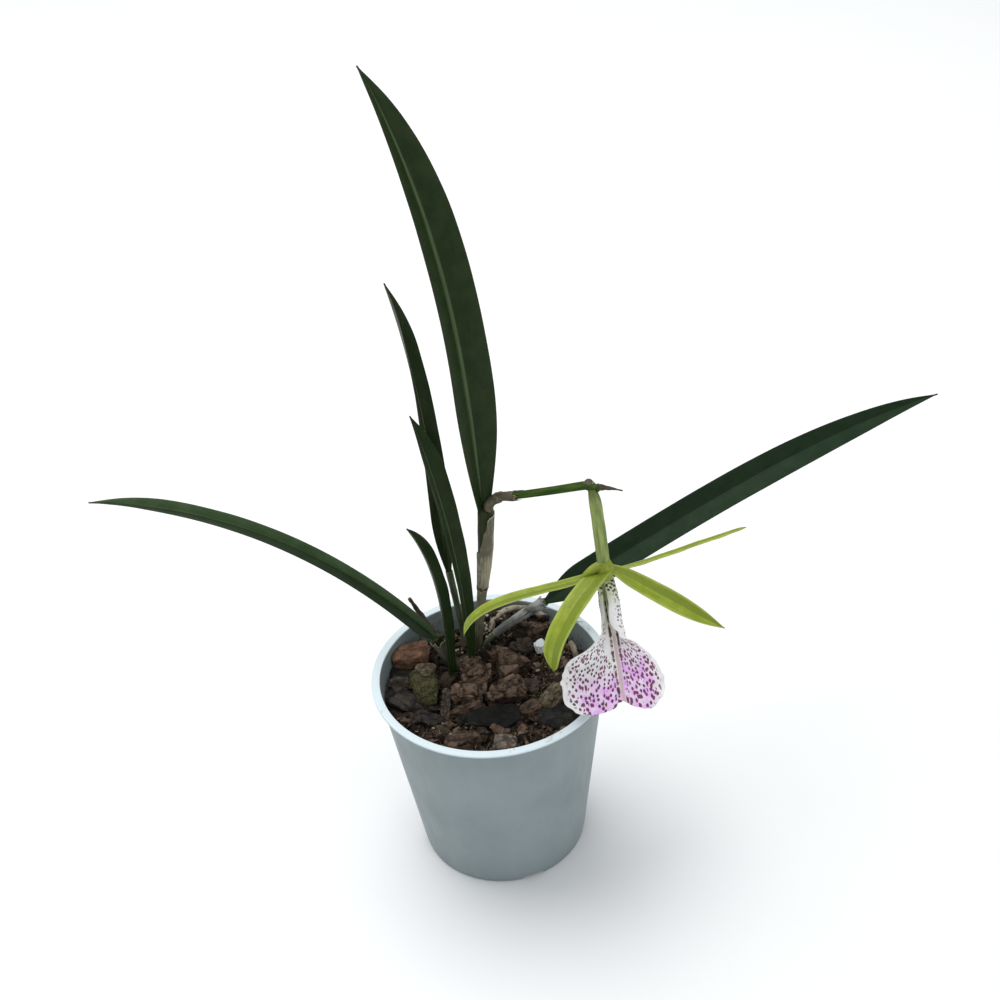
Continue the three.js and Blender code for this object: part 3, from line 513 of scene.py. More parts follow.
def shell(middle, thickness, grain, place):
    """A closed sheet round a grid of points. place's third value is 1 on the face that the
    normal leaves and 0 on the other."""
    normal = unit(np.cross(np.gradient(middle, axis=0), np.gradient(middle, axis=1)))
    half = normal * (thickness / 2)[..., None]
    rings = np.concatenate([middle + half, (middle - half)[:, ::-1]], axis=1)
    rows, around, _ = rings.shape
    faces = [tuple(face) for face in ring_faces(rows, around)]
    for first in (0, (rows - 1) * around):
        for j in range(around // 2 - 1):
            near, far = (first + j, first + j + 1), (first + around - 2 - j, first + around - 1 - j)
            faces.append((*near[::-1], *far[::-1]) if first == 0 else (*near, *far))
    place = place.copy()
    under = place.copy()
    place[..., 2] = 1
    under[..., 2] = 0
    return Form(
        rings.reshape(-1, 3), faces,
        np.concatenate([grain, grain[:, ::-1]], axis=1).reshape(-1, 3),
        np.concatenate([place, under[:, ::-1]], axis=1).reshape(-1, 3))


_spheres = {}


def sphere(level):
    """The directions and faces of a ball of triangles."""
    if level not in _spheres:
        ball = bmesh.new()
        bmesh.ops.create_icosphere(ball, subdivisions=level, radius=1)
        directions = unit(np.array([v.co for v in ball.verts], float))
        _spheres[level] = (directions, [tuple(v.index for v in f.verts) for f in ball.faces])
        ball.free()
    return _spheres[level]


# Blades: leaves, petals and sepals


def blade_line(blade, steps, before):
    """The middle line of a blade from a little before its base, and the directions there."""
    def at(pair, v):
        return np.radians(pair[0] + (pair[1] - pair[0]) * v)

    def direction(v):
        heading = at(blade["heading"], v)
        elevation = at(blade["elevation"], np.clip(v, 0, 1) ** blade["bend"])
        flat = np.cos(elevation)
        return np.stack([flat * np.cos(heading), flat * np.sin(heading), np.sin(elevation)], -1)

    v = np.linspace(-before / blade["length"], 1, steps + 1)
    step = v[1] - v[0]
    moves = direction(v[:-1] + step / 2) * step * blade["length"]
    line = np.vstack([np.zeros(3), np.cumsum(moves, axis=0)])
    start = np.array([np.interp(0, v, line[:, axis]) for axis in range(3)])
    line += np.array(blade["base"], float) - start
    heading = at(blade["heading"], v)
    roll = at(blade["roll"], v)[:, None]
    tangent = direction(v)
    level = np.stack([-np.sin(heading), np.cos(heading), np.zeros(len(v))], -1)
    across = level * np.cos(roll) + np.cross(tangent, level) * np.sin(roll)
    return v, line, across, np.cross(tangent, across)


def blade_width(blade, v):
    v = np.clip(v, 0, 1)
    rise = np.sin(np.minimum(v / blade["full"], 1) * math.pi / 2)
    fall = np.maximum((v - blade["taper"]) / (1 - blade["taper"]), 0) ** blade["tip"]
    return blade["width"] * (blade["root"] + (1 - blade["root"]) * rise) * (1 - fall)


def blade_form(blade, rows, columns, before, crease, keel, ripple, seed):
    """A blade with a soft crease along its middle, a keel under it and a slightly waved edge."""
    v, line, across, face = blade_line(blade, rows, before)
    half = np.maximum(blade_width(blade, v) / 2, 0.25)[:, None]
    t = np.sin(np.linspace(-math.pi / 2, math.pi / 2, columns + 1))[None, :]
    fold = math.radians(blade["fold"])
    lift = np.sqrt(t**2 + crease**2) - crease + 0.12 * (np.abs(t) - t**2)
    spread = np.stack(np.broadcast_arrays(t * 3.0, v[:, None] * blade["length"], 0 * t), -1)
    wave = ripple * t**2 * rough(spread, blade["length"] / 7, seed, 2)
    middle = (
        line[:, None] + across[:, None] * (t * half * math.cos(fold))[..., None]
        + face[:, None] * (lift * half * math.sin(fold) + wave)[..., None])
    body = blade["thickness"] * (1 - 0.6 * np.clip(v, 0, 1))[:, None]
    ridge = keel * body * np.exp(-((t / 0.09) ** 2))
    thickness = 0.22 + (body - 0.22) * (1 - t**2) ** 0.7
    middle = middle - face[:, None] * (ridge / 2)[..., None]
    grain = np.stack(np.broadcast_arrays(t * blade["width"] / 2, v[:, None] * blade["length"], 0.0), -1)
    place = np.stack(np.broadcast_arrays(t, v[:, None], 0.0), -1)
    return shell(middle, thickness + ridge, grain, place)


# Materials


class Value:
    """What comes out of a node: numbers, places or colours, which further nodes can work on."""

    def __init__(self, paint, socket):
        self.paint = paint
        self.socket = socket

    def maths(self, operation, other=0.0):
        return self.paint.out("Math", {0: self, 1: other}, operation=operation)

    def __add__(self, other):
        return self.maths("ADD", other)

    def __sub__(self, other):
        return self.maths("SUBTRACT", other)

    def __mul__(self, other):
        return self.maths("MULTIPLY", other)

    def __pow__(self, other):
        return self.maths("POWER", other)

    def __abs__(self):
        return self.maths("ABSOLUTE")

    def or_more(self, other):
        """This or the other, whichever is more."""
        return self.maths("MAXIMUM", other)

    def span(self, low, high, start, end, eased=True):
        """Brings the values from low to high to the span from start to end."""
        inputs = {"Value": self, "From Min": low, "From Max": high, "To Min": start, "To Max": end}
        kind = "SMOOTHSTEP" if eased else "LINEAR"
        return self.paint.out("MapRange", inputs, interpolation_type=kind, clamp=True)

    def rises(self, low, high, most=1.0):
        """Nothing below low, the most above high, and eased between."""
        return self.span(low, high, 0.0, most)

    def falls(self, low, high, most=1.0):
        return self.span(low, high, most, 0.0)

    def axis(self, index):
        return self.paint.out("SeparateXYZ", {0: self}, index)

    def stretched(self, *scale):
        """Places that are stretched differently along each axis."""
        return self.paint.out("VectorMath", {0: self, 1: scale}, operation="MULTIPLY")

    def noise(self, scale, detail=4.0, roughness=0.55, distortion=0.0):
        inputs = {
            "Vector": self, "Scale": scale, "Detail": detail, "Roughness": roughness,
            "Distortion": distortion}
        return self.paint.out("TexNoise", inputs)

    def cells(self, scale, randomness=1.0, flat=False):
        """The distance to the nearest of many scattered points, in cells."""
        inputs = {"Vector": self, "Scale": scale, "Randomness": randomness}
        kind = "2D" if flat else "3D"
        return self.paint.out("TexVoronoi", inputs, "Distance", voronoi_dimensions=kind)


class Paint:
    """Writes the nodes of one material, with a colour that takes coat after coat."""

    def __init__(self, name, sockets):
        self.material = bpy.data.materials.new(name)
        self.material.use_nodes = True
        self.tree = self.material.node_tree
        self.shader = self.tree.nodes["Principled BSDF"]
        self.colour = None
        self.normal = None
        for socket, value in sockets.items():
            self.feed(self.shader.inputs[socket], value)

    def feed(self, socket, value):
        if isinstance(value, Value):
            self.tree.links.new(value.socket, socket)
        elif socket.type == "RGBA":
            socket.default_value = (*value, 1.0)
        else:
            socket.default_value = value

    def node(self, kind, inputs, **settings):
        made = self.tree.nodes.new("ShaderNode" + kind)
        for key, value in settings.items():
            setattr(made, key, value)
        for socket, value in inputs.items():
            self.feed(made.inputs[socket], value)
        return made

    def out(self, kind, inputs, output=0, **settings):
        """What a new node puts out."""
        return Value(self, self.node(kind, inputs, **settings).outputs[output])

    def read(self, name):
        """What a form says at each vertex: grain, place, fan or tint."""
        output = "Fac" if name == "tint" else "Vector"
        return self.out("Attribute", {}, output, attribute_name=name, attribute_type="GEOMETRY")

    def here(self):
        """The place in the object, in metres."""
        return self.out("TexCoord", {}, "Object")

    def ramp(self, value, stops):
        made = self.node("ValToRGB", {0: value})
        elements = made.color_ramp.elements
        while len(elements) < len(stops):
            elements.new(0.5)
        for element, (position, colour) in zip(elements, stops):
            element.position = position
            element.color = (*colour, 1.0)
        return Value(self, made.outputs[0])

    def mixed(self, share, a, b):
        """From a to b, by a share."""
        return self.out("Mix", {0: share, 6: a, 7: b}, 2, data_type="RGBA", clamp_factor=True)

    def coat(self, share, colour):
        """Lays a colour over what is there, by a share."""
        self.colour = self.mixed(share, self.colour, colour)

    def bump(self, height, distance, strength):
        """Adds a relief to those before. The distance is in millimetres."""
        inputs = {"Height": height, "Distance": distance * MM, "Strength": strength}
        if self.normal:
            inputs["Normal"] = self.normal
        self.normal = self.out("Bump", inputs)

    def finish(self, roughness=None):
        self.feed(self.shader.inputs["Base Color"], self.colour)
        if roughness is not None:
            self.feed(self.shader.inputs["Roughness"], roughness)
        if self.normal:
            self.feed(self.shader.inputs["Normal"], self.normal)
        return self.material


def leaf_paint(name, dark, light, vein, band=0.0, painted_shade_far_half=1.0, shine=0.14):
    """A leathery leaf: fine veins along it and faint mottling. band is how strong a pale stripe
    lies beside the crease, painted_shade_far_half how bright the half beyond the crease is, as painted shade
    on that half, and shine how much the leaf mirrors."""
    paint = Paint(name, {"Specular IOR Level": shine})
    grain, place = paint.read("grain"), paint.read("place")
    side, along = place.axis(0), place.axis(1)
    streak = grain.stretched(1, 0.035, 1).noise(1.9, 3)
    mottle = grain.noise(0.11, 5)
    paint.colour = paint.mixed(mottle.rises(0.3, 0.7), dark, light)
    paint.coat(streak.rises(0.35, 0.75, 0.5), light)
    # Painted shade: painted_shade_far_half darkens the half beyond the crease, which faces away from the
    # light.
    if painted_shade_far_half != 1.0:
        half = side.span(-0.03, 0.03, 1.0, painted_shade_far_half)
        paint.colour = paint.out("HueSaturation", {"Value": half, "Color": paint.colour})
    if band:
        soft = grain.stretched(1, 0.08, 1).noise(0.4, 3)
        stripe = side.rises(0.0, 0.05) * side.falls(0.16, 0.34) * soft.span(0.2, 0.6, 0.4, 1.0)
        paint.coat(stripe * band, vein)
    middle = abs(side)
    crease = middle.falls(0.01, 0.05, 0.6) * along.span(0.5, 0.95, 1.0, 0.2)
    margin = middle.rises(0.95, 1.0, 0.5)
    dry_tip = along.rises(0.985, 0.997)
    paint.coat(crease, vein)
    paint.coat(margin, (0.07, 0.055, 0.04))
    paint.coat(dry_tip, (0.05, 0.035, 0.022))
    paint.bump(grain.stretched(1, 0.02, 1).noise(3.4, 2), 0.15, 0.6)
    paint.bump(mottle, 0.6, 0.4)
    return paint.finish(grain.noise(0.5, 4).span(0.3, 0.7, 0.36, 0.52))


def tepal_paint():
    """A waxy yellow-green petal: one half darker, pale margins, faint veins and small flecks."""
    paint = Paint("tepal", {
        "Subsurface Weight": 0.12, "Subsurface Scale": 0.002, "Subsurface Radius": (0.6, 0.8, 0.2),
        "Specular IOR Level": 0.3})
    grain, place = paint.read("grain"), paint.read("place")
    side, along = place.axis(0), place.axis(1)
    middle = abs(side)
    soft = grain.noise(0.12, 3)
    streak = grain.stretched(1, 0.06, 1).noise(0.55, 3)
    vein = grain.stretched(1, 0.04, 1).noise(1.5, 3)
    darker_half = side.rises(-0.1, 0.08, 0.7)
    margin = (middle + soft * 0.3).rises(0.8, 1.15, 0.7)
    rim = middle.rises(0.955, 1.0, 0.45)
    grey_base = grain.noise(0.3, 3).rises(0.42, 0.6) * along.falls(0.0, 0.3)
    fleck = grain.cells(0.95, flat=True).falls(0.14, 0.24) * grain.noise(0.35, 2).rises(0.45, 0.6)
    tip = along.rises(0.975, 0.995, 0.7)
    paint.colour = paint.mixed(soft.rises(0.3, 0.7), (0.24, 0.305, 0.018), (0.35, 0.405, 0.042))
    paint.coat(streak.rises(0.42, 0.62, 0.6), (0.19, 0.26, 0.014))
    paint.coat(vein.rises(0.4, 0.7, 0.3), (0.2, 0.27, 0.02))
    paint.coat(darker_half, (0.155, 0.215, 0.014))
    paint.coat(margin, (0.44, 0.5, 0.1))
    paint.coat(rim, (0.18, 0.19, 0.06))
    paint.coat(grey_base * 0.35, (0.17, 0.21, 0.07))
    paint.coat(fleck * along.span(0.05, 0.7, 0.6, 0.3), (0.07, 0.09, 0.03))
    paint.coat(tip, (0.14, 0.13, 0.08))
    paint.bump(vein, 0.3, 0.6)
    paint.bump(streak, 0.5, 0.5)
    return paint.finish(soft.span(0.3, 0.7, 0.4, 0.55))


def lip_paint():
    """The white lip: maroon spots in fans, two broken stripes beside a cream midline, and lilac."""
    paint = Paint("lip", {
        "Subsurface Weight": 0.15, "Subsurface Scale": 0.002, "Subsurface Radius": (1.0, 0.8, 0.9),
        "Specular IOR Level": 0.3})
    grain, fan = paint.read("grain"), paint.read("fan")
    across, along = grain.axis(0), grain.axis(1)
    edge = abs(paint.read("place").axis(0))
    right_half = across.rises(-1, 1)
    cloud = grain.noise(0.12, 3)
    margin = edge + cloud * 0.12

    # Ground: white, with lilac on the lobes, green at the throat and a cream floor and midline. The
    # floor's cream is partly painted light, kept pale where the claw shades it.
    paint.colour = paint.mixed(cloud.rises(0.3, 0.7), (0.78, 0.76, 0.77), (0.93, 0.92, 0.93))
    low = paint.mixed(right_half, along.rises(37, 50), along.rises(28, 42))
    patches = grain.noise(0.2, 2).span(0.36, 0.6, 0.35, 1.0)
    # Painted light: the floor inside the claw is partly its own cream and partly lightened to stand in for
    # light reaching it.
    floor = edge.falls(0.32, 0.46, 0.85) * along.falls(20, 30)
    midline = abs(across).falls(0.5, 1.2, 0.85) * along.rises(22, 27)
    paint.coat(low * margin.falls(0.72, 1.0) * patches, (0.82, 0.47, 0.9))
    paint.coat(along.falls(2, 14, 0.7), (0.66, 0.74, 0.42))
    paint.coat(floor, (0.92, 0.9, 0.7))
    paint.coat(midline, (0.56, 0.47, 0.4))

    # Spots: round ones all over, and longer ones that follow the veins, more on the right.
    patch = fan.noise(0.16, 2)
    wobble = (grain.noise(1.1, 2) - 0.5) * 0.26
    round_size = patch.span(0.3, 0.62, 0.22, 0.32, eased=False) + across.rises(-2, 12, 0.02)
    long_size = patch.span(0.42, 0.66, 0.0, 0.26, eased=False) + across.rises(0, 8, 0.05)
    dots = fan.stretched(1, 0.85, 1).cells(0.5, 0.85, flat=True) + wobble
    streaks = fan.stretched(1, 0.45, 1).cells(0.66, 0.95, flat=True) + wobble
    spot = (dots - round_size).falls(-0.03, 0.05).or_more((streaks - long_size).falls(-0.03, 0.05))
    bare = along.falls(30, 42, 3.5) * across.falls(-1, 1)
    clear = (abs(across) - bare).rises(2, 3)
    spot = spot * margin.falls(0.93, 1.01) * along.rises(24, 29) * clear

    # The claw has dark spots where it turns round to the front, and a clear free edge.
    beside = edge.rises(0.4, 0.52)
    turn = (beside * edge.falls(0.72, 0.86)).or_more(beside * along.falls(4, 7)) * along.falls(25, 31)
    claw_size = along.span(5, 15, 0.36, 0.25, eased=False)
    claw_spot = (grain.cells(0.55, 0.9, flat=True) + wobble - claw_size).falls(-0.05, 0.04)
    spot = spot.or_more(claw_spot * turn)

    # Two stripes follow the midline and break up towards the end.
    bend = (grain.noise(0.35, 2) - 0.5) * 1.6
    stripe = (abs(abs(across) - 1.8) + bend).falls(0.2, 0.55)
    gaps = grain.stretched(0.3, 1, 1).noise(0.62, 2).rises(0.43, 0.5)
    stripe = stripe * gaps.or_more(along.falls(24, 36)) * along.rises(6.5, 9.5)

    ink = paint.mixed(patch.rises(0.35, 0.62), (0.045, 0.008, 0.022), (0.17, 0.015, 0.09))
    ink = paint.mixed(right_half * 0.5, ink, (0.16, 0.012, 0.07))
    ink = paint.mixed(along.falls(20, 32), ink, (0.035, 0.008, 0.018))
    paint.coat(spot.or_more(stripe) * 0.94, ink)
    paint.bump(fan.stretched(1, 0.08, 1).noise(0.8, 3), 0.4, 0.7)
    return paint.finish(cloud.span(0.3, 0.7, 0.45, 0.6))


def stem_paint(name, dark, light, scar, soil=0.0, start=None):
    """A smooth stem: soft streaks along it, a few corky marks, soil on its foot up to a height in
    millimetres, and another colour at its start."""
    paint = Paint(name, {"Specular IOR Level": 0.15})
    grain = paint.read("grain")
    streak = grain.stretched(1, 0.12, 1).noise(0.5, 3)
    fine = grain.stretched(1, 0.2, 1).noise(1.8, 4)
    paint.colour = paint.mixed(streak.rises(0.35, 0.65), dark, light)
    paint.coat(fine.rises(0.5, 0.75, 0.35), light)
    paint.coat(grain.noise(0.9, 5).rises(0.62, 0.7) * 0.7, scar)
    if start:
        paint.coat(paint.read("place").axis(1).falls(0.0, 0.3, 0.85), start)
    if soil:
        paint.coat(paint.here().axis(2).falls((soil - 9) * MM, soil * MM, 0.9), (0.03, 0.022, 0.014))
    paint.bump(fine, 0.3, 0.5)
    return paint.finish(streak.span(0.3, 0.7, 0.42, 0.58))


def papery_paint(name, dark, light, stain, edge, slope=None):
    """A dry sheath: long fibres, stains, a dull paper surface and a pale torn edge. slope is the
    axis of its place along which it gets lighter."""
    paint = Paint(name, {"Specular IOR Level": 0.3})
    grain, place = paint.read("grain"), paint.read("place")
    fibre = grain.stretched(1, 0.05, 1).noise(1.5, 4, 0.6)
    cloud = grain.noise(0.17, 4)
    tone = fibre * 0.5 + cloud * 0.5
    if slope is not None:
        tone = tone + place.axis(slope).span(0.15, 0.85, -0.14, 0.12)
    paint.colour = paint.mixed(tone.rises(0.36, 0.62), dark, light)
    paint.coat(cloud.rises(0.54, 0.72, 0.6), stain)
    paint.coat(grain.stretched(1, 0.5, 1).cells(0.8).falls(0.1, 0.2, 0.5), stain)
    paint.coat(abs(place.axis(1) - 0.5).rises(0.475, 0.497, 0.75), edge)
    paint.bump(fibre, 0.25, 0.7)
    paint.bump(cloud, 0.8, 0.5)
    return paint.finish(fibre.span(0.3, 0.7, 0.6, 0.8))


def scaled(colour, share):
    """A darker or lighter colour."""
    return tuple(min(value * share, 1.0) for value in colour)


def bark_paint(name, dark, light, dust, dullness=0.92, moss=None):
    """Bark: dark cracks and lighter faces, painted as shade and light through each vertex's tint,
    fibres, crumbs of dust and, on some, moss on top.
    """
    paint = Paint(name, {"Specular IOR Level": 0.12})
    grain = paint.read("grain")
    fibre = grain.stretched(0.3, 1, 1.6).noise(0.8, 6, 0.65, 0.4)
    lumps = grain.noise(0.3, 6, 0.62)
    # Painted shade and light: the tint darkens cracks and seams and lightens raised faces.
    tone = paint.read("tint") * 0.42 + fibre * 0.4 + lumps * 0.5
    paint.colour = paint.ramp(tone, (
        (0.38, scaled(dark, 0.35)), (0.55, dark), (0.74, light), (0.92, scaled(light, 1.9))))
    bits = grain.cells(1.0).falls(0.12, 0.2) * grain.noise(0.25, 2).rises(0.54, 0.64)
    paint.coat(bits * 0.6, dust)
    if moss:
        upward = paint.out("NewGeometry", {}, "Normal").axis(2)
        cover = upward.rises(-0.2, 0.6) * lumps.rises(0.44, 0.54)
        green = paint.mixed(grain.noise(1.3, 4).rises(0.4, 0.62), scaled(moss, 0.25), moss)
        paint.coat(cover * 0.8, green)
    paint.bump(fibre, 0.6, 0.8)
    paint.bump(grain.noise(1.4, 5, 0.7), 0.6, 0.9)
    return paint.finish(lumps.span(0.3, 0.7, dullness - 0.12, dullness))


def fibre_paint():
    """Dry root fibres, from dark brown to gold, one tint each."""
    paint = Paint("fibre", {"Roughness": 0.8, "Specular IOR Level": 0.3})
    tone = paint.read("tint") + paint.read("grain").noise(1.0, 3).span(0.3, 0.7, -0.15, 0.15)
    paint.colour = paint.ramp(tone, (
        (0.15, (0.03, 0.02, 0.012)), (0.5, (0.13, 0.085, 0.045)), (0.95, (0.45, 0.37, 0.22))))
    return paint.finish()


def pot_paint():
    """Moulded plastic: even and slightly mottled outside, painted light on the rim's top, dull and dirty
    inside near the bark.
    """
    paint = Paint("pot", {"Specular IOR Level": 0.35})
    high, half_wall = POT["height"], POT["wall"] / 2
    here = paint.here()
    height = here.axis(2) * (1 / MM)
    cloud = here.noise(26, 4)
    paint.colour = paint.mixed(cloud.rises(0.3, 0.7), (0.215, 0.262, 0.272), (0.25, 0.3, 0.31))
    # Painted light: the rim's top face is painted pale blue-white, as if lit from above.
    paint.coat(height.rises(high - 1.2, high - 0.4), (0.64, 0.74, 0.78))
    radius = (here.axis(0) ** 2.0 + here.axis(1) ** 2.0).maths("SQRT") * (1 / MM)
    middle_of_wall = height.span(
        0.0, high - POT["flange"], POT["foot"] - half_wall, POT["top"] - half_wall, eased=False)
    inside = (radius - middle_of_wall).falls(-0.2, 0.2) * height.rises(high - 0.4, high - 1.4)
    paint.coat(inside, (0.24, 0.285, 0.29))
    dirt = here.noise(420, 5, 0.7).rises(0.5, 0.66)
    paint.coat(dirt * inside * height.rises(high - 4, high - 12), (0.035, 0.024, 0.018))
    paint.coat(height.falls(0, 5, 0.35), (0.16, 0.19, 0.19))
    paint.bump(here.noise(900, 2), 0.05, 0.35)
    paint.bump(cloud, 0.4, 0.3)
    scuffs = here.stretched(1, 1, 0.2).noise(160, 4)
    return paint.finish(scuffs.span(0.3, 0.7, 0.42, 0.56))


def perlite_paint():
    """A white crumb full of small pits."""
    paint = Paint("perlite", {"Subsurface Weight": 0.1, "Subsurface Scale": 0.001})
    pits = paint.read("grain").cells(1.4)
    paint.colour = paint.mixed(pits.rises(0.1, 0.4), (0.5, 0.53, 0.54), (0.82, 0.86, 0.88))
    paint.bump(pits, 0.5, 0.8)
    return paint.finish(0.85)


# Each look of the bark: its slot, its dark, light and dusty colours, and some with their dullness
# and moss.
BARK_COLOURS = {
    "red": ("bark_red", (0.072, 0.04, 0.025), (0.178, 0.096, 0.06), (0.25, 0.16, 0.11)),
    "rust": ("bark_red", (0.035, 0.024, 0.0175), (0.122, 0.08, 0.056), (0.24, 0.18, 0.12)),
    "brown": ("bark_brown", (0.038, 0.0255, 0.0175), (0.165, 0.112, 0.08), (0.26, 0.2, 0.14)),
    "grey": ("bark_brown", (0.07, 0.06, 0.048), (0.235, 0.2, 0.162), (0.26, 0.22, 0.17)),
    "umber": ("bark_brown", (0.024, 0.019, 0.015), (0.078, 0.062, 0.048), (0.18, 0.15, 0.11)),
    "tan": ("bark_olive", (0.055, 0.044, 0.028), (0.19, 0.155, 0.1), (0.26, 0.22, 0.15)),
    "black": ("bark_black", (0.012, 0.011, 0.0095), (0.054, 0.047, 0.04), (0.13, 0.115, 0.09), 0.8),
    "slate": ("bark_black", (0.0105, 0.011, 0.01), (0.032, 0.033, 0.028), (0.08, 0.075, 0.06), 0.7),
    "coal": ("bark_black", (0.006, 0.0062, 0.0055), (0.015, 0.0155, 0.013), (0.05, 0.045, 0.035), 0.6),
    "olive": (
        "bark_olive", (0.034, 0.029, 0.017), (0.105, 0.088, 0.05), (0.2, 0.17, 0.1), 0.92,
        (0.07, 0.073, 0.022)),
    # dark: on the bed it is painted shade between the chips; on small dark chips and crumbs it is their own
    # colour.
    "dark": ("bark_dark", (0.012, 0.0093, 0.007), (0.05, 0.037, 0.027), (0.18, 0.135, 0.09)),
    "cream": ("root", (0.14, 0.12, 0.09), (0.42, 0.38, 0.3), (0.5, 0.46, 0.38)),
}
BARK_LOOKS = {
    look: (slot, bark_paint("bark_" + look, *colours))
    for look, (slot, *colours) in BARK_COLOURS.items()}
BARK_LOOKS["white"] = ("perlite", perlite_paint())

UPRIGHT_LEAF = leaf_paint(
    "leaf_upright", (0.011, 0.026, 0.006), (0.021, 0.037, 0.01), (0.1, 0.15, 0.068), band=0.9)
LEAF_PAINTS = {
    # leaf_e and leaf_f: the half beyond the crease is painted darker by painted_shade_far_half, as painted
    # shade.
    "leaf_e": leaf_paint(
        "leaf_left", (0.03, 0.06, 0.02), (0.048, 0.085, 0.035), (0.17, 0.2, 0.07), painted_shade_far_half=0.42),
    "leaf_f": leaf_paint(
        "leaf_right", (0.012, 0.028, 0.013), (0.019, 0.037, 0.018), (0.028, 0.05, 0.028), painted_shade_far_half=0.7,
        shine=0.05),
}
GREEN_STEM_PAINT = stem_paint(
    "green_stem", (0.013, 0.022, 0.006), (0.028, 0.04, 0.014), (0.08, 0.07, 0.04), soil=103)
GREY_STEM_PAINT = stem_paint(
    "grey_stem", (0.05, 0.065, 0.03), (0.11, 0.13, 0.075), (0.13, 0.11, 0.07), soil=103)
STALK_PAINT = stem_paint("flower_stalk", (0.018, 0.045, 0.004), (0.05, 0.1, 0.01), (0.09, 0.1, 0.045))
OVARY_PAINT = stem_paint(
    "ovary", (0.165, 0.225, 0.065), (0.33, 0.4, 0.13), (0.2, 0.24, 0.12), start=(0.1, 0.125, 0.035))
COLUMN_PAINT = stem_paint("column", (0.36, 0.44, 0.2), (0.5, 0.56, 0.32), (0.5, 0.5, 0.36))
SHEATH_PAINT = papery_paint(
    "dry_sheath", (0.125, 0.12, 0.078), (0.4, 0.365, 0.255), (0.15, 0.125, 0.075), (0.45, 0.41, 0.3), 0)
FOOT_PAINT = papery_paint(
    "foot_sheath", (0.045, 0.047, 0.027), (0.16, 0.155, 0.095), (0.05, 0.038, 0.022), (0.3, 0.28, 0.19), 1)
TORN_PAINT = papery_paint(
    "torn_sheath", (0.045, 0.042, 0.03), (0.15, 0.145, 0.11), (0.05, 0.04, 0.025), (0.4, 0.38, 0.3), 1)
SILVER_PAINT = papery_paint(
    "silver_sheath", (0.1, 0.105, 0.094), (0.31, 0.325, 0.31), (0.12, 0.12, 0.1), (0.5, 0.5, 0.46), 1)
DRY_PAINT = papery_paint(
    "dry_brown", (0.026, 0.018, 0.012), (0.085, 0.06, 0.038), (0.04, 0.038, 0.022), (0.14, 0.11, 0.07))
BRACT_PAINT = papery_paint(
    "bract", (0.05, 0.042, 0.024), (0.15, 0.13, 0.08), (0.05, 0.04, 0.024), (0.34, 0.3, 0.2))
ROOT_PAINT = papery_paint(
    "root", (0.13, 0.105, 0.074), (0.36, 0.315, 0.235), (0.08, 0.06, 0.04), (0.3, 0.26, 0.18))
TEPAL_PAINT = tepal_paint()
LIP_PAINT = lip_paint()
FIBRE_PAINT = fibre_paint()
POT_PAINT = pot_paint()

# Putting pieces into the scene


def add_values(mesh, name, kind, key, values):
    attribute = mesh.attributes.new(name, kind, "POINT")
    attribute.data.foreach_set(key, np.asarray(values, np.float32).ravel())


def piece(name, form, material, replaces=(), fan=None, crease=None):
    """Makes a form an object that rides on the part's body and stands for CAD nodes."""
    mesh = bpy.data.meshes.new(name)
    mesh.from_pydata((form.vertices * MM).tolist(), [], form.faces)
    add_values(mesh, "grain", "FLOAT_VECTOR", "vector", form.grain)
    add_values(mesh, "place", "FLOAT_VECTOR", "vector", form.place)
    add_values(mesh, "tint", "FLOAT", "value", form.tint)
    if fan is not None:
        add_values(mesh, "fan", "FLOAT_VECTOR", "vector", fan)
    mesh.polygons.foreach_set("use_smooth", np.ones(len(mesh.polygons), bool))
    if crease:
        mesh.set_sharp_from_angle(angle=math.radians(crease))
    mesh.materials.append(material)
    made = bpy.data.objects.new(name, mesh)
    bpy.context.scene.collection.objects.link(made)
    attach(made, "root")
    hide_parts(*replaces)
    return made


# The pot


def outer_radius(z):
    return POT["foot"] + (POT["top"] - POT["foot"]) * z / (POT["height"] - POT["flange"])


def inner_radius(z):
    return outer_radius(z) - POT["wall"]


def arc(centre, radius, start, end, count=5):
    """Points of a round corner in the pot's profile, from one angle to another."""
    turn = np.radians(np.linspace(start, end, count))
    return [(centre[0] + radius * math.cos(a), centre[1] + radius * math.sin(a)) for a in turn]


def pot_profile():
    high, edge, bend = POT["height"], POT["edge"], POT["floor_bend"]
    under = high - POT["flange"]
    mouth = POT["top"] - POT["wall"]
    groove_in, groove_out = POT["groove"]
    slope, deep = POT["groove_slope"], POT["groove_depth"]
    foot_bend, floor = POT["foot_bend"], POT["floor"]
    profile = [(0.01, 0), (groove_in, 0), (groove_in + slope, deep)]
    profile += [(groove_out, deep), (groove_out + slope, 0)]
    profile += arc((POT["foot"] - foot_bend, foot_bend), foot_bend, -90, -7, 6)
    profile += [(outer_radius(z), z) for z in np.linspace(6, under - 1.0, 24)]
    profile += arc((POT["top"] + 0.75, under - 0.75), 0.75, 173, 95, 4)
    profile += arc((POT["rim"] - edge, under + edge), edge, -90, 0)
    profile += arc((POT["rim"] - edge, high - edge), edge, 0, 90)
    profile += arc((mouth + edge, high - edge), edge, 90, 180)
    profile += [(inner_radius(z), z) for z in np.linspace(high - 4, floor + bend, 12)]
    profile += arc((inner_radius(floor) - bend, floor + bend), bend, 0, -90, 6)[1:]
    profile += [(0.01, floor)]
    return profile


def turned(profile, facets):
    """A closed form turned round the Z axis."""
    angle = np.linspace(0, 2 * math.pi, facets, endpoint=False)
    rings = np.array([[(r * math.cos(a), r * math.sin(a), z) for a in angle] for r, z in profile])
    return loft(rings, rings, np.zeros_like(rings))


def plain_object(name, form):
    mesh = bpy.data.meshes.new(name)
    mesh.from_pydata((form.vertices * MM).tolist(), [], form.faces)
    made = bpy.data.objects.new(name, mesh)
    bpy.context.scene.collection.objects.link(made)
    return made


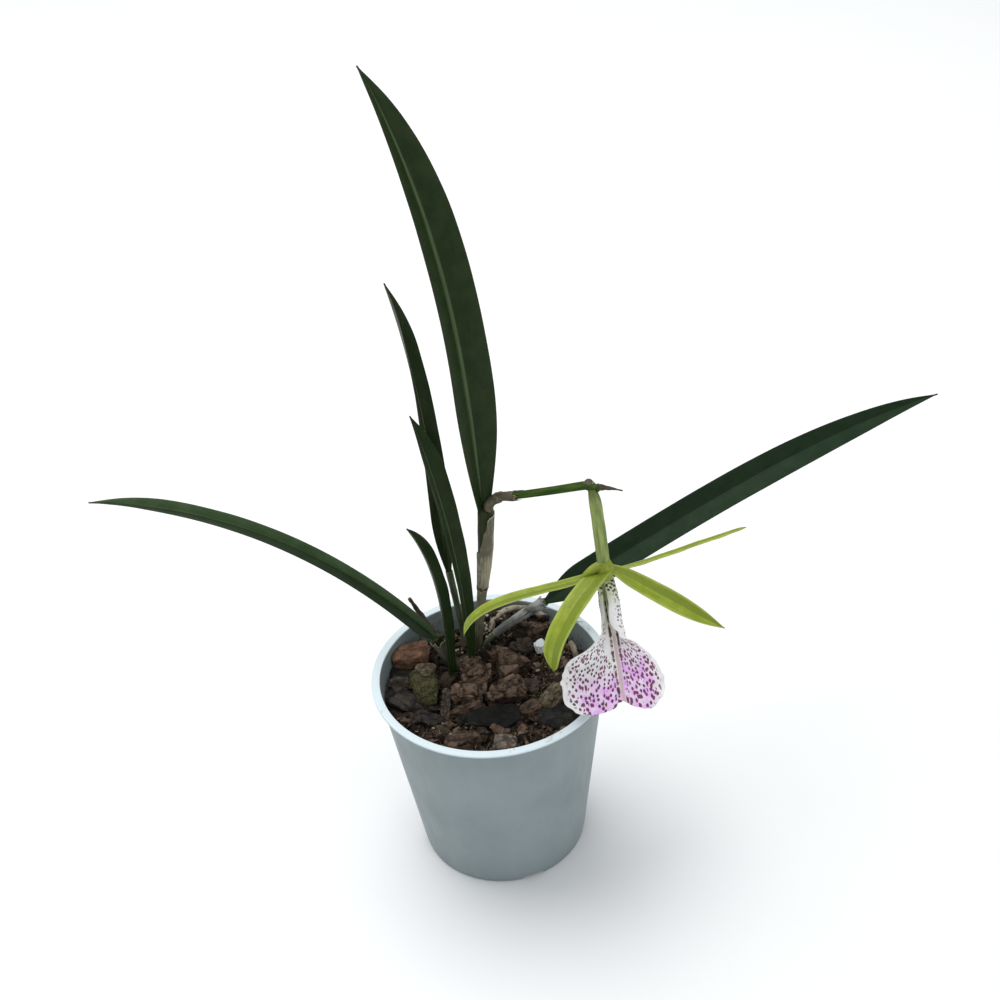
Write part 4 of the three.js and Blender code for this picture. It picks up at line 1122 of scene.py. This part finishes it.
def bar(outline, low, high, azimuth):
    """An outline of (across, up) points, drawn out along a line from the axis at an azimuth."""
    turn = math.radians(azimuth)
    along = np.array([math.cos(turn), math.sin(turn), 0])
    across = np.array([-math.sin(turn), math.cos(turn), 0])
    rings = np.array([
        [along * reach + across * x + np.array([0, 0, z]) for x, z in outline] for reach in (low, high)])
    return loft(rings, rings, rings)


def notch_cutter(index):
    half = POT["notch_width"] / 2
    turn = np.linspace(0, math.pi, 15)
    arch = [(half * math.cos(a), POT["notch_height"] * math.sin(a) ** 0.8) for a in turn]
    outline = [(-half, -1), (half, -1)] + arch
    middle = sum(POT["groove"]) / 2
    azimuth = POT["notch_azimuth"] + 360 / POT["notches"] * index
    return bar(outline, middle, middle + POT["foot"], azimuth)


def drain_cutter(index):
    turn = (index + 0.5) / POT["drains"] * 2 * math.pi
    centre = np.array([math.cos(turn), math.sin(turn), 0]) * POT["drain_circle"]
    angle = np.linspace(0, 2 * math.pi, 32, endpoint=False)
    circle = np.stack([np.cos(angle), np.sin(angle), 0 * angle], -1) * POT["drain_radius"] + centre
    rings = np.array([circle + (0, 0, z) for z in (-POT["floor"], 2 * POT["floor"])])
    return loft(rings, rings, rings)


def make_pot():
    pot = piece("pot_body", turned(pot_profile(), POT["facets"]), POT_PAINT, ["pot"])
    cutters = [notch_cutter(i) for i in range(POT["notches"])]
    cutters += [drain_cutter(i) for i in range(POT["drains"])]
    tool = plain_object("pot_cutter", joined(cutters))
    cut = pot.modifiers.new("cut", "BOOLEAN")
    cut.operation = "DIFFERENCE"
    cut.solver = "EXACT"
    cut.object = tool
    bpy.context.view_layer.update()
    result = bpy.data.meshes.new_from_object(pot.evaluated_get(bpy.context.evaluated_depsgraph_get()))
    pot.modifiers.clear()
    pot.data = result
    bpy.data.objects.remove(tool)
    result.set_sharp_from_angle(angle=math.radians(38))


# Bark


def turned_about(points, turn, at):
    """Turns points about Y, X and then Z, and moves them to a place."""
    spin = (
        Matrix.Rotation(math.radians(turn[0]), 3, "Z")
        @ Matrix.Rotation(math.radians(turn[1]), 3, "X")
        @ Matrix.Rotation(math.radians(turn[2]), 3, "Y"))
    return points @ np.array(spin).T + np.array(at, float)


def inside_pot(points, clearance=0.5):
    """Draws points that would stand in the pot's wall back to its inside."""
    reach = np.hypot(points[:, 0], points[:, 1])
    most = inner_radius(points[:, 2]) - clearance
    scale = np.minimum(most / np.maximum(reach, 1e-6), 1)
    return points * np.stack([scale, scale, np.ones(len(scale))], -1)


def block(size, seed, level, flats=8, layers=0, hollow=0.0, press=0.6, cap=0.0, cuts=()):
    """A chip before it is roughened: a ball pressed towards a box and cut flat on several sides,
    and on top at a share of its height if there is a cap. cuts are further flat sides: a way out
    and how far. Gives its points, the ways out of it, its faces and a tint."""
    directions, faces = sphere(level)
    random = np.random.default_rng(seed)
    size = np.array(size, float)
    body = np.sign(directions) * np.abs(directions) ** press
    for index in range(flats):
        upright = (1, 1, 0.3) if index % 3 else (0.5, 0.5, 1.5)
        normal = unit(random.normal(size=3) * upright)
        heights = body @ normal
        over = heights - heights.max() * random.uniform(0.66, 0.92)
        body = body - np.outer(np.maximum(over, 0), normal)
    for *way, reach in cuts:
        body = body - np.outer(np.maximum(body @ np.array(way, float) - reach, 0), way)
    if cap:
        body[:, 2] = np.minimum(body[:, 2], cap)
    tint = np.full(len(body), 0.5)
    if layers:
        share = (body[:, 2] * 0.5 + 0.5) * layers + 0.35 * rough(body, 0.9, seed, 2)
        sheet = np.floor(share).astype(int)
        seam = np.exp(-(((share - sheet) / 0.16) ** 2))
        reach = random.uniform(-0.16, 0.06, layers + 4)[sheet + 2] - 0.07 * seam
        body[:, :2] *= (1 + reach)[:, None]
        # Painted shade: darker along the seams between layers, where they are drawn in.
        tint = tint - 0.35 * seam
    body = body * size / 2
    if hollow:
        dish = np.exp(-((body[:, 0] / size[0] * 2.5) ** 2) - (body[:, 1] / size[1] * 2.5) ** 2)
        body[:, 2] -= hollow * dish * smoothstep(body[:, 2], -size[2] * 0.2, size[2] * 0.1)
    return body, unit(directions / size), faces, tint


def roughened(places, out, tint, crumble, lump, seed):
    """Breaks a chip's surface into tilted faces, large and small, and paints shade into their
    cracks and light onto their higher faces.
    """
    bend = np.stack([rough(places, lump * 0.7, seed + k, 2) for k in (1, 2, 3)], -1)
    bent = places + bend * lump * 0.1
    large, deep = shards(bent, lump, seed)
    small, fine = shards(bent, lump * 0.36, seed + 20)
    grit = rough(places, lump * 0.3, seed + 9, 3)
    relief = large + 0.4 * small - 0.8 * deep - 0.3 * fine + 0.15 * grit
    # Painted shade and light: cracks are darker and higher faces lighter.
    shade = tint + 0.2 * large + 0.13 * small - 0.28 * deep - 0.12 * fine
    return places + out * (crumble * relief)[:, None], np.clip(shade, 0, 1)


def make_chip(name, at, size, turn, look, shape, seed):
    shape = dict(shape)
    crumble = shape.pop("crumble", 0.4)
    lump = shape.pop("lump", 4.0)
    pattern = shape.pop("seed", 3)
    local, out, faces, tint = block(size, seed, 5 if max(size) > SMALLEST_DETAILED else 4, **shape)
    places, out = turned_about(local, turn, at), turned_about(out, turn, (0, 0, 0))
    places, tint = roughened(places, out, tint, crumble, lump, pattern)
    places = inside_pot(places)
    slot, material = BARK_LOOKS[look]
    form = Form(places, faces, grain=local + seed * 9.0, tint=tint)
    stands_for = [name] if name in CHIPS else ()
    piece(name + "_rough", form, material, stands_for, crease=40)
    return places


def heap(x, y):
    """How much higher the bark is where it is heaped up."""
    total = 0
    for mound in HEAPS:
        turn = math.radians(mound["turn"])
        right, back = x - mound["at"][0], y - mound["at"][1]
        across = (right * math.cos(turn) + back * math.sin(turn)) / mound["reach"][0]
        inward = (back * math.cos(turn) - right * math.sin(turn)) / mound["reach"][1]
        total = np.maximum(total, mound["height"] * smoothstep(np.hypot(across, inward), 1.1, 0.3))
    return total


def bed_height(x, y):
    flat = np.stack([x, y, 0 * x], -1)
    return BED_LEVEL + 0.4 + 1.0 * rough(flat, 11, 3, 3) + 0.6 * rough(flat, 2.4, 4, 3) + heap(x, y)


def on_a_chip(x, y):
    """Whether a place lies on one of the larger chips."""
    for at, size, turn, *_ in [*CHIPS.values(), *LOOSE_CHIPS.values()]:
        spin = math.radians(turn[0])
        across = ((x - at[0]) * math.cos(spin) + (y - at[1]) * math.sin(spin)) / size[0]
        along = ((y - at[1]) * math.cos(spin) - (x - at[0]) * math.sin(spin)) / size[1]
        if math.hypot(across, along) < CHIP_COVER / 2:
            return True
    return False


def make_bed():
    """The bark's surface as one closed form, from the pot's floor up."""
    low = POT["floor"] + GAP
    bend = POT["floor_bend"] + GAP
    rows = [(0.02, low), (inner_radius(low) - bend, low), (inner_radius(low + bend) - GAP, low + bend)]
    rows += [(inner_radius(z) - GAP, z) for z in np.linspace(low + bend + 4, BED_LEVEL - 3, 10)]
    top = inner_radius(BED_LEVEL) - GAP - 0.1
    rows += [(top * share, None) for share in np.linspace(1, 0.002, 100)]
    angle = np.linspace(0, 2 * math.pi, 220, endpoint=False)
    rings = []
    for radius, z in rows:
        x, y = radius * np.cos(angle), radius * np.sin(angle)
        rings.append(np.stack([x, y, bed_height(x, y) if z is None else np.full(len(x), z)], -1))
    rings = np.array(rings)
    # The bed takes the near-black dark look: painted shade in the gaps between the chips.
    slot, material = BARK_LOOKS["dark"]
    piece("bark_surface", loft(rings, rings, np.zeros_like(rings), 0.35), material, ["bark_bed"])


def scattered(count, reach, seed):
    """Places on a sunflower spread, each moved a little."""
    random = np.random.default_rng(seed)
    turn = np.arange(count) * math.pi * (3 - math.sqrt(5))
    radius = reach * np.sqrt((np.arange(count) + 0.5) / count)
    jitter = random.normal(scale=reach / math.sqrt(count) * 0.6, size=(count, 2))
    spots = np.stack([radius * np.cos(turn), radius * np.sin(turn)], -1) + jitter
    far = np.maximum(np.hypot(*spots.T) / reach, 1)
    return spots / far[:, None]


def clustered(groups, seed):
    """Places in several heaps, each given as (x, y, spread, count)."""
    random = np.random.default_rng(seed)
    return np.vstack([random.normal((x, y), spread, size=(count, 2)) for x, y, spread, count in groups])


def small_block(at, size, turn, level, seed, tint, crumble=0.09):
    """One small chip or crumb, broken in proportion to its size."""
    local, out, faces, _ = block(size, seed, level, 6)
    places, out = turned_about(local, turn, at), turned_about(out, turn, (0, 0, 0))
    places, shade = roughened(places, out, 0.5, crumble * max(size), max(size) * 0.45, seed)
    return Form(inside_pot(places), faces, grain=local + seed % 97 * 13.0, tint=0.5 * shade + 0.5 * tint)


def scatter_chips(name, spots, sizes, level, look, rise, flat, seed):
    """Many small chips that lie on the bark's surface at the given spots, beside the larger ones."""
    random = np.random.default_rng(seed)
    forms = []
    for index, (x, y) in enumerate(spots):
        long = random.uniform(*sizes)
        size = (long, long * random.uniform(0.4, 0.85), long * random.uniform(0.35, 1.0) * flat)
        turn = (random.uniform(0, 360), random.normal(scale=18), random.normal(scale=18))
        z = bed_height(np.array([x]), np.array([y]))[0] + random.uniform(*rise)
        if not on_a_chip(x, y):
            tint = random.uniform()
            forms.append(small_block((x, y, z), size, turn, level, seed * 1000 + index, tint))
    slot, material = BARK_LOOKS[look]
    piece(name, joined(forms), material, crease=40)


def fibre(start, heading, elevation, length, radius, sag, random):
    """A thin dry fibre: a bent tube with few sides."""
    run = np.linspace(0, 1, 5)[:, None]
    turn, rise = math.radians(heading), math.radians(elevation)
    along = np.array([math.cos(turn) * math.cos(rise), math.sin(turn) * math.cos(rise), math.sin(rise)])
    side = np.array([-math.sin(turn), math.cos(turn), 0])
    bend = random.normal(scale=0.18) * length
    droop = np.array([0, 0, sag])
    points = np.array(start) + run * along * length + side * bend * run**2 - droop * run**2
    form = tube(points.tolist(), [radius, radius * 0.5], 8, 3, ends=(0.3, 0.3))
    form.tint[:] = random.uniform()
    return form


def make_fibres():
    everywhere = scattered(150, inner_radius(BED_LEVEL) - 5, 61)
    spots = np.vstack([everywhere, clustered(DEBRIS, 62)])
    random = np.random.default_rng(63)
    forms = []
    for x, y in spots:
        if math.hypot(x, y) > inner_radius(BED_LEVEL) - 4 or on_a_chip(x, y):
            continue
        z = bed_height(np.array([x]), np.array([y]))[0] + random.uniform(0.8, 2.6)
        length = random.uniform(1.8, 6.0)
        toward = math.degrees(math.atan2(-y, -x)) + random.normal(scale=75)
        elevation, radius = random.uniform(-8, 26), random.uniform(0.06, 0.14)
        forms.append(fibre((x, y, z), toward, elevation, length, radius, 0.6, random))
    piece("bark_fibres", joined(forms), FIBRE_PAINT)


def make_dirt():
    """Crumbs and hair-thin fibres on the rim, most of them at the front and at the back right."""
    random = np.random.default_rng(71)
    crumbs, hairs = [], []
    for middle, spread, count, hair_count in RIM_DIRT:
        for index in range(count + hair_count):
            turn = math.radians(random.normal(middle, spread))
            radius = random.uniform(POT["top"] - 0.4, POT["rim"] - 1.2)
            at = (radius * math.cos(turn), radius * math.sin(turn), POT["height"] + 0.12)
            if index < count:
                size = random.uniform(0.2, 0.65) * np.array([1.5, 0.8, 0.5])
                spin = (random.uniform(0, 360), 0, 0)
                crumbs.append(small_block(at, size, spin, 2, 7000 + len(crumbs), 0.3))
            else:
                heading, length = random.uniform(0, 360), random.uniform(1.2, 3.2)
                hairs.append(fibre(at, heading, 4, length, 0.07, 0.1, random))
    slot, material = BARK_LOOKS["dark"]
    piece("rim_crumbs", joined(crumbs), material)
    for hair in hairs:
        hair.tint[:] = 0.15
    piece("rim_hairs", joined(hairs), FIBRE_PAINT)


def strewn(name, places, count, sizes, look, seed):
    """Crumbs or tufts on the upper side of a chip, whose points are given."""
    random = np.random.default_rng(seed)
    high = places[places[:, 2] > np.quantile(places[:, 2], 0.45)]
    forms = []
    for at in high[random.integers(0, len(high), count)]:
        size = random.uniform(*sizes) * np.array([1, 0.8, 0.7])
        turn = random.uniform(0, 360, 3)
        forms.append(small_block(at, size, turn, 1, seed * 100 + len(forms), random.uniform(), 0.16))
    slot, material = BARK_LOOKS[look]
    piece(name, joined(forms), material)


def make_bark():
    make_bed()
    surfaces = {}
    for seed, (name, (at, size, turn, look, shape)) in enumerate({**CHIPS, **LOOSE_CHIPS}.items(), 11):
        surfaces[name] = make_chip(name, at, size, turn, look, shape, seed)
    reach = inner_radius(BED_LEVEL) - 2.5
    for seed, (name, (source, *how)) in enumerate(SMALL_BARK.items(), 31):
        spots = clustered(source, seed) if isinstance(source, list) else scattered(source, reach, seed)
        scatter_chips(name, spots, *how, seed)
    for name, (below, *how) in STREWN.items():
        strewn(name, surfaces[below], *how)
    make_fibres()
    make_dirt()


# Stems, sheaths and roots


def ring_marks(marks, height, width):
    """Relief for a tube: raised rings at shares of its length, and a little unevenness."""
    def relief(share, angle, centres):
        total = 0.03 * rough(centres + 0 * angle[..., None] + np.stack([
            np.cos(angle) * 3, np.sin(angle) * 3, 0 * angle], -1), 6.0, 5, 3)
        for mark in marks:
            total = total + height * np.exp(-(((share - mark) / width) ** 2))
        return total
    return relief


def sheath(stem, start, end, left, right, rows, columns, lift=0.0, flare=0.0, torn=0.035, slant=0.0,
           facing=(0, -1, 0)):
    """A papery sheath round a stem. left and right are tables of the angles of its two edges, in
    degrees from the way it faces, along its length. Its ends are torn, and slant raises the end
    on the right. lift and flare widen it, flare at its end alone."""
    share = np.linspace(0, 1, rows + 1)
    t = np.linspace(0, 1, columns + 1)[None, :]
    from_angle, to_angle = smooth(left, share)[:, None], smooth(right, share)[:, None]
    fray = rough(np.stack([share * 14, 0 * share, 0 * share], -1), 1.0, 21, 3)[:, None] * torn * 160
    angle = np.radians(from_angle + fray + (to_angle - from_angle) * t)
    rags = torn * rough(np.stack([angle * 2.6, angle * 0, angle * 0], -1), 1.0, 9, 4)
    upward = slant * np.sin(angle) * share[:, None] ** 3
    run = start + (end - start) * share[:, None] + rags * (share[:, None] - 0.5) * 2 + upward
    points = curve(stem["points"], run.ravel())
    ahead = curve(stem["points"], np.clip(run.ravel() + 0.01, 0, 1))
    behind = curve(stem["points"], np.clip(run.ravel() - 0.01, 0, 1))
    tangent = unit(ahead - behind)
    radii = list(zip(np.linspace(0, 1, len(stem["radii"])), stem["radii"]))
    radius = smooth(radii, np.clip(run.ravel(), 0, 1)) + GAP + 0.15 + lift
    radius = radius + flare * np.repeat(share, columns + 1) ** 7
    side = np.array(facing, float)
    side = unit(side - tangent * (tangent @ side)[:, None])
    other = np.cross(tangent, side)
    turn = angle.ravel()[:, None]
    out = side * np.cos(turn) + other * np.sin(turn)
    crumple = 0.16 * rough((points + out * radius[:, None]) * (1, 1, 0.4), 2.6, 8, 3)
    middle = points + out * (radius + crumple)[:, None]
    shape = (rows + 1, columns + 1)
    middle = middle.reshape(*shape, 3)
    line = curve(stem["points"], np.linspace(start, end, 20))
    long = np.linalg.norm(np.diff(line, axis=0), axis=1).sum()
    grain = np.stack([angle * 3.5, np.broadcast_to(share[:, None] * long, shape), 0 * angle], -1)
    place = np.stack([np.broadcast_to(t, shape), np.broadcast_to(share[:, None], shape), 0 * angle], -1)
    return shell(middle, np.full(shape, 0.26), grain, place)


def even(value):
    """The same angle all along a sheath's edge."""
    return [(0, value), (1, value)]


def make_stems():
    skin = tube(**RHIZOME, steps=60, sides=20)
    piece("rhizome_skin", skin, GREEN_STEM_PAINT, ["rhizome"])
    marks = {"pseudobulb_a": (0.22, 0.6), "stem_e": (0.3, 0.75), "stem_b": (0.35, 0.8)}
    for name, stem in STEMS.items():
        relief = ring_marks(marks.get(name, ()), 0.07, 0.012)
        form = tube(**stem, steps=80, sides=28, relief=relief, ends=(0.2, 0.25))
        paint = GREY_STEM_PAINT if name in ("stem_b", "stem_f") else GREEN_STEM_PAINT
        piece(name + "_skin", form, paint, [name])


def make_sheaths():
    bulb, left_stem, right_stem = STEMS["pseudobulb_a"], STEMS["stem_e"], STEMS["stem_f"]
    torn_edge = [(0, -172), (0.44, -170), (0.52, -60), (0.62, -38), (0.78, -16), (1, 12)]
    upper = sheath(bulb, 0.585, 0.965, torn_edge, even(172), 90, 44, torn=0.02, slant=0.02)
    piece("sheath_a_upper", upper, SHEATH_PAINT, ["sheath_a"])
    lower = sheath(bulb, 0.14, 0.6, even(-174), even(174), 60, 40, lift=-0.1, torn=0.012)
    piece("sheath_a_lower", lower, FOOT_PAINT)
    node = sheath(bulb, 0.588, 0.599, even(-175), even(174), 8, 60, lift=0.12, torn=0.01)
    piece("sheath_a_node", node, DRY_PAINT)
    left_edge, right_edge = [(0, -160), (1, -120)], [(0, 160), (1, 110)]
    ragged = sheath(left_stem, 0.2, 0.9, left_edge, right_edge, 50, 40, 0.1, 0.5, torn=0.11)
    piece("sheath_e_torn", ragged, TORN_PAINT, ["sheath_e"])
    long = sheath(right_stem, 0.42, 0.95, even(-176), even(176), 60, 40, lift=-0.1, torn=0.05)
    piece("sheath_f_tube", long, SILVER_PAINT, ["sheath_f"])
    collar = sheath(right_stem, 0.8, 0.99, even(-140), even(168), 34, 44, 0.15, 0.8, torn=0.07)
    piece("sheath_f_collar", collar, SILVER_PAINT)


def make_roots():
    def knobbly(share, angle, centres):
        around = np.stack([np.cos(angle) * 2, np.sin(angle) * 2, 0 * angle], -1)
        return 0.06 + 0.24 * rough(centres + around, 3.4, 12, 4) - 0.12 * np.cos(2 * angle)

    for name, root in ROOTS.items():
        form = tube(**root, steps=80, sides=20, relief=knobbly)
        piece(name + "_skin", form, ROOT_PAINT, [name])


def make_dead_stub():
    def ragged(share, angle, centres):
        around = np.stack([np.cos(angle), np.sin(angle), 0 * angle], -1)
        return 0.22 * rough(centres * 0.5 + around, 1.2, 13, 4) - 0.1 * np.cos(angle * 3)

    skin = tube(**DEAD_STUB, steps=90, sides=24, relief=ragged)
    piece("dead_stub_skin", skin, DRY_PAINT, ["dead_stub"])
    loops = [
        [(-26, 31.5, 106), (-22, 30, 112), (-19, 30.5, 115), (-17.5, 32, 112), (-18.5, 32, 107)],
        [(-27, 32, 108), (-31, 31, 106), (-34, 31.5, 107.5), (-35.5, 32, 110)],
        [(-29, 33, 112), (-26, 33, 116), (-23.5, 34, 117), (-22, 34.5, 114.5)],
    ]
    forms = [tube(points, [0.22, 0.14], 30, 6) for points in loops]
    piece("dead_stub_fibres", joined(forms), FIBRE_PAINT)


def make_root_hairs():
    hairs = [
        [(4.5, 17, 104), (7, 15, 105.5), (10.5, 12.5, 104), (13, 10, 103)],
        [(-19, 25, 98), (-24, 23.5, 103), (-28, 22, 101)],
        [(34, 28, 101), (38, 26, 103), (42, 24, 101)],
    ]
    forms = [tube(points, [0.16, 0.1], 24, 6) for points in hairs]
    piece("root_hairs", joined(forms), FIBRE_PAINT)


# Leaves


def make_leaves():
    for seed, (name, blade) in enumerate(LEAVES.items(), 41):
        form = blade_form(
            blade, rows=110, columns=22, before=1.6, crease=0.07, keel=0.3, ripple=0.35, seed=seed)
        piece(name + "_blade", form, LEAF_PAINTS.get(name, UPRIGHT_LEAF), [name])


# The flower


def make_stalk():
    def joints(share, angle, centres):
        knob = 0.05 * np.exp(-(((share - 0.86) / 0.01) ** 2))
        ribs = 0.025 * np.cos(angle * 5) * smoothstep(share, 0.3, 0.5)
        return ribs + knob + 0 * centres[..., 0]

    skin = tube(**FLOWER_STALK, steps=130, sides=24, relief=joints)
    piece("flower_stalk_skin", skin, STALK_PAINT, ["flower_stalk"])
    faces = (0.3, -0.6, -0.6)
    lower = sheath(FLOWER_STALK, 0.02, 0.3, even(-168), even(165), 36, 32, 0.05, 0.3, facing=faces)
    upper = sheath(FLOWER_STALK, 0.2, 0.43, even(-172), even(150), 36, 32, -0.15, 0.25, facing=faces)
    piece("stalk_bract_lower", lower, BRACT_PAINT, ["stalk_bract"])
    piece("stalk_bract_upper", upper, BRACT_PAINT)
    cap_line = [(52.2, 1.1, 216.4), (53.4, 0.5, 217.1), (54.8, -0.2, 216.8)]
    cap = tube(cap_line, [1.7, 2.2, 1.4], 24, 20, ring_marks((), 0, 1))
    piece("stalk_knob", cap, BRACT_PAINT)

    def withered(share, angle, centres):
        lumps = rough(centres + 0 * angle[..., None], 1.5, 15, 3)
        return 0.25 * np.cos(angle * 2 + share * 9) + 0.2 * lumps

    tip = tube(**DRIED_TIP, steps=60, sides=18, relief=withered)
    piece("dried_tip_skin", tip, DRY_PAINT, ["dried_tip"])
    stub_line = [(55, -0.8, 215.6), (57.4, -1.3, 215.3), (58.9, -1.6, 215.1)]
    stub = tube(stub_line, [1.5, 1.7, 1.0], 24, 24, withered)
    piece("bud_stub", stub, STALK_PAINT)


def make_ovary():
    def grooves(share, angle, centres):
        depth = 0.045 * np.sin(np.clip(share, 0, 1) * math.pi) + 0.01
        return depth * np.cos(6 * (angle + share * 1.1)) + 0 * centres[..., 0]

    skin = tube(**OVARY, steps=110, sides=44, relief=grooves, ends=(0.3, 0.7))
    piece("ovary_skin", skin, OVARY_PAINT, ["ovary"])
    column = tube(**COLUMN, steps=50, sides=24, ends=(0.4, 0.9))
    piece("column_skin", column, COLUMN_PAINT, ["column"])
    hub = joined([tube(**part, steps=24, sides=32, ends=(0.3, 0.7)) for part in HUB])
    # The petals' paint reads the hub as a place a little beside a petal's crease, at its base.
    hub.place[:, :2] = -0.3, 0.05
    piece("flower_hub", hub, TEPAL_PAINT)
    random = np.random.default_rng(91)
    scales = []
    for index in range(14):
        at = np.array([57.9, -8.6, 175.6]) + random.normal(scale=(1.2, 0.15, 0.9))
        size = random.uniform(0.4, 0.9) * np.array([1, 0.5, 0.5])
        scales.append(small_block(at, size, random.uniform(0, 360, 3), 1, 9000 + index, 0.8))
    piece("hub_scales", joined(scales), ROOT_PAINT)


def make_tepals():
    for seed, (name, blade) in enumerate(TEPALS.items(), 51):
        form = blade_form(
            blade, rows=100, columns=22, before=1.8, crease=0.25, keel=0.25, ripple=0.3, seed=seed)
        piece(name + "_blade", form, TEPAL_PAINT, [name])


def lip_surface(distance, t):
    """A point of the lip at a distance along its middle line, t from -1 to 1 across."""
    base = np.array(LIP["base"], float)
    down = unit(np.array(LIP["down"], float))
    front = np.array(LIP["front"], float)
    front = unit(front - down * (front @ down))
    right = np.cross(front, down)
    left = t < 0
    spread = np.maximum((distance - LIP["claw"]) / (LIP["length"] - LIP["claw"]), 0)
    opened = smoothstep(distance, LIP["opens"], LIP["flat"])
    curl = np.where(left, smooth(LIP["left_curl"], distance), smooth(LIP["right_curl"], distance))
    reach = np.where(left, smooth(LIP["left_arc"], distance), smooth(LIP["right_arc"], distance))
    frill = np.stack([distance, np.sign(t) * 9 + 0 * distance, 0 * distance + 0 * t], -1)
    scallop = rough(frill, 3.2, 18, 2)
    arc_length = np.abs(t) * reach * (1 + 0.045 * t**4 * scallop * opened)
    lobe = LIP["lobes"] * np.sin(np.radians(np.abs(t) * LIP["lobe_turn"])) * spread**2
    ends = np.stack([t * reach, 0 * t, 0 * t], -1)
    lobe = lobe + 0.9 * rough(ends, 3.4, 19, 2) * spread**6
    turn = np.tan(np.radians(np.where(left, LIP["left_turn"], LIP["right_turn"])))
    shift = np.where(left, 0, LIP["right_wave_shift"])
    phase = np.radians(360 * distance / LIP["length"] * LIP["waves"] + shift)
    ripple = LIP["wave"] * t**2 * np.sin(phase)
    ripple = ripple + 1.7 * np.abs(t) ** 5 * rough(frill, 2.8, 17, 2)
    ripple = ripple + 0.9 * spread**5 * rough(ends, 3.0, 20, 2)
    crest = 0.5 * np.exp(-(((arc_length - 1.8) / 0.6) ** 2)) * smoothstep(distance, 14, 26)
    height = curl * (1 - np.cos(arc_length / curl)) + (ripple - turn * arc_length) * opened + crest
    point = (
        base + down * (distance + lobe)[..., None]
        + right * (np.sign(t) * curl * np.sin(arc_length / curl))[..., None] + front * height[..., None])
    return point, np.sign(t) * arc_length


def make_lip():
    rows, columns = 170, 120
    start = -2.5  # a little behind its base, so that the claw covers the column
    distance, t = np.meshgrid(
        np.linspace(start, LIP["length"], rows + 1), np.linspace(-1, 1, columns + 1), indexing="ij")
    middle, across = lip_surface(distance, t)
    thickness = 0.3 + 0.45 * (1 - t**4)
    grain = np.stack([across, distance, 0 * t], -1)
    place = np.stack([t, distance / LIP["length"], 0 * t], -1)
    form = shell(middle, thickness, grain, place)
    # The veins fan out from this far along the lip. Angles are spread out to millimetres.
    fan_centre, fan_spread = 18.0, 32
    x, y = form.grain[:, 0], form.grain[:, 1] - fan_centre
    fan = np.stack([np.arctan2(x, np.maximum(y, 1)) * fan_spread, np.hypot(x, y), 0 * x], -1)
    piece("lip_blade", form, LIP_PAINT, ["lip"], fan=fan)


# The room


def make_floor():
    bpy.ops.mesh.primitive_plane_add(size=12)
    floor = bpy.context.object
    floor.name = "floor"
    paint = Paint("floor", {"Specular IOR Level": 0.2})
    paint.colour = paint.mixed(paint.here().noise(3.0), (0.86, 0.87, 0.88), (0.9, 0.91, 0.92))
    floor.data.materials.append(paint.finish(0.75))


def add_area(name, place, target, size, energy, colour):
    data = bpy.data.lights.new(name, "AREA")
    data.shape = "DISK"
    data.size = size
    data.energy = energy
    data.color = colour
    lamp = bpy.data.objects.new(name, data)
    lamp.location = place
    lamp.rotation_mode = "QUATERNION"
    lamp.rotation_quaternion = (Vector(target) - Vector(place)).to_track_quat("-Z", "Y")
    bpy.context.scene.collection.objects.link(lamp)


def make_light():
    world = bpy.data.worlds.new("room")
    world.use_nodes = True
    background = world.node_tree.nodes["Background"]
    background.inputs["Color"].default_value = (0.96, 0.98, 1.0, 1.0)
    background.inputs["Strength"].default_value = 0.66
    bpy.context.scene.world = world
    add_area("top_light", (-0.5, 0.7, 2.3), (0, 0.1, 0.1), size=2.2, energy=42, colour=(1.0, 0.99, 0.97))
    add_area("front_light", (0.9, -1.7, 1.2), (0, 0, 0.15), size=1.4, energy=4, colour=(0.97, 0.99, 1.0))


def make_camera():
    """A camera at the photograph's place: it looks down at the pot from the front."""
    position = np.array([0, -0.56136, 0.61582])
    pitch, roll, yaw = np.radians([35.66, -4.88, 1.22])
    level = math.cos(pitch)
    forward = np.array([math.sin(yaw) * level, math.cos(yaw) * level, -math.sin(pitch)])
    right = np.array([math.cos(yaw), -math.sin(yaw), 0])
    up = np.cross(right, forward)
    right, up = (
        math.cos(roll) * right + math.sin(roll) * up,
        math.cos(roll) * up - math.sin(roll) * right)
    data = bpy.data.cameras.new("camera")
    data.sensor_width = 36
    data.lens = 54
    data.clip_start = 0.01
    camera = bpy.data.objects.new("camera", data)
    columns = np.array([right, up, -forward]).T
    camera.matrix_world = Matrix.Translation(position) @ Matrix(columns.tolist()).to_4x4()
    bpy.context.scene.collection.objects.link(camera)
    bpy.context.scene.camera = camera


make_camera()
make_floor()
make_light()
bpy.context.scene.view_settings.view_transform = "Standard"
make_pot()
make_bark()
make_stems()
make_sheaths()
make_roots()
make_dead_stub()
make_root_hairs()
make_leaves()
make_stalk()
make_ovary()
make_tepals()
make_lip()
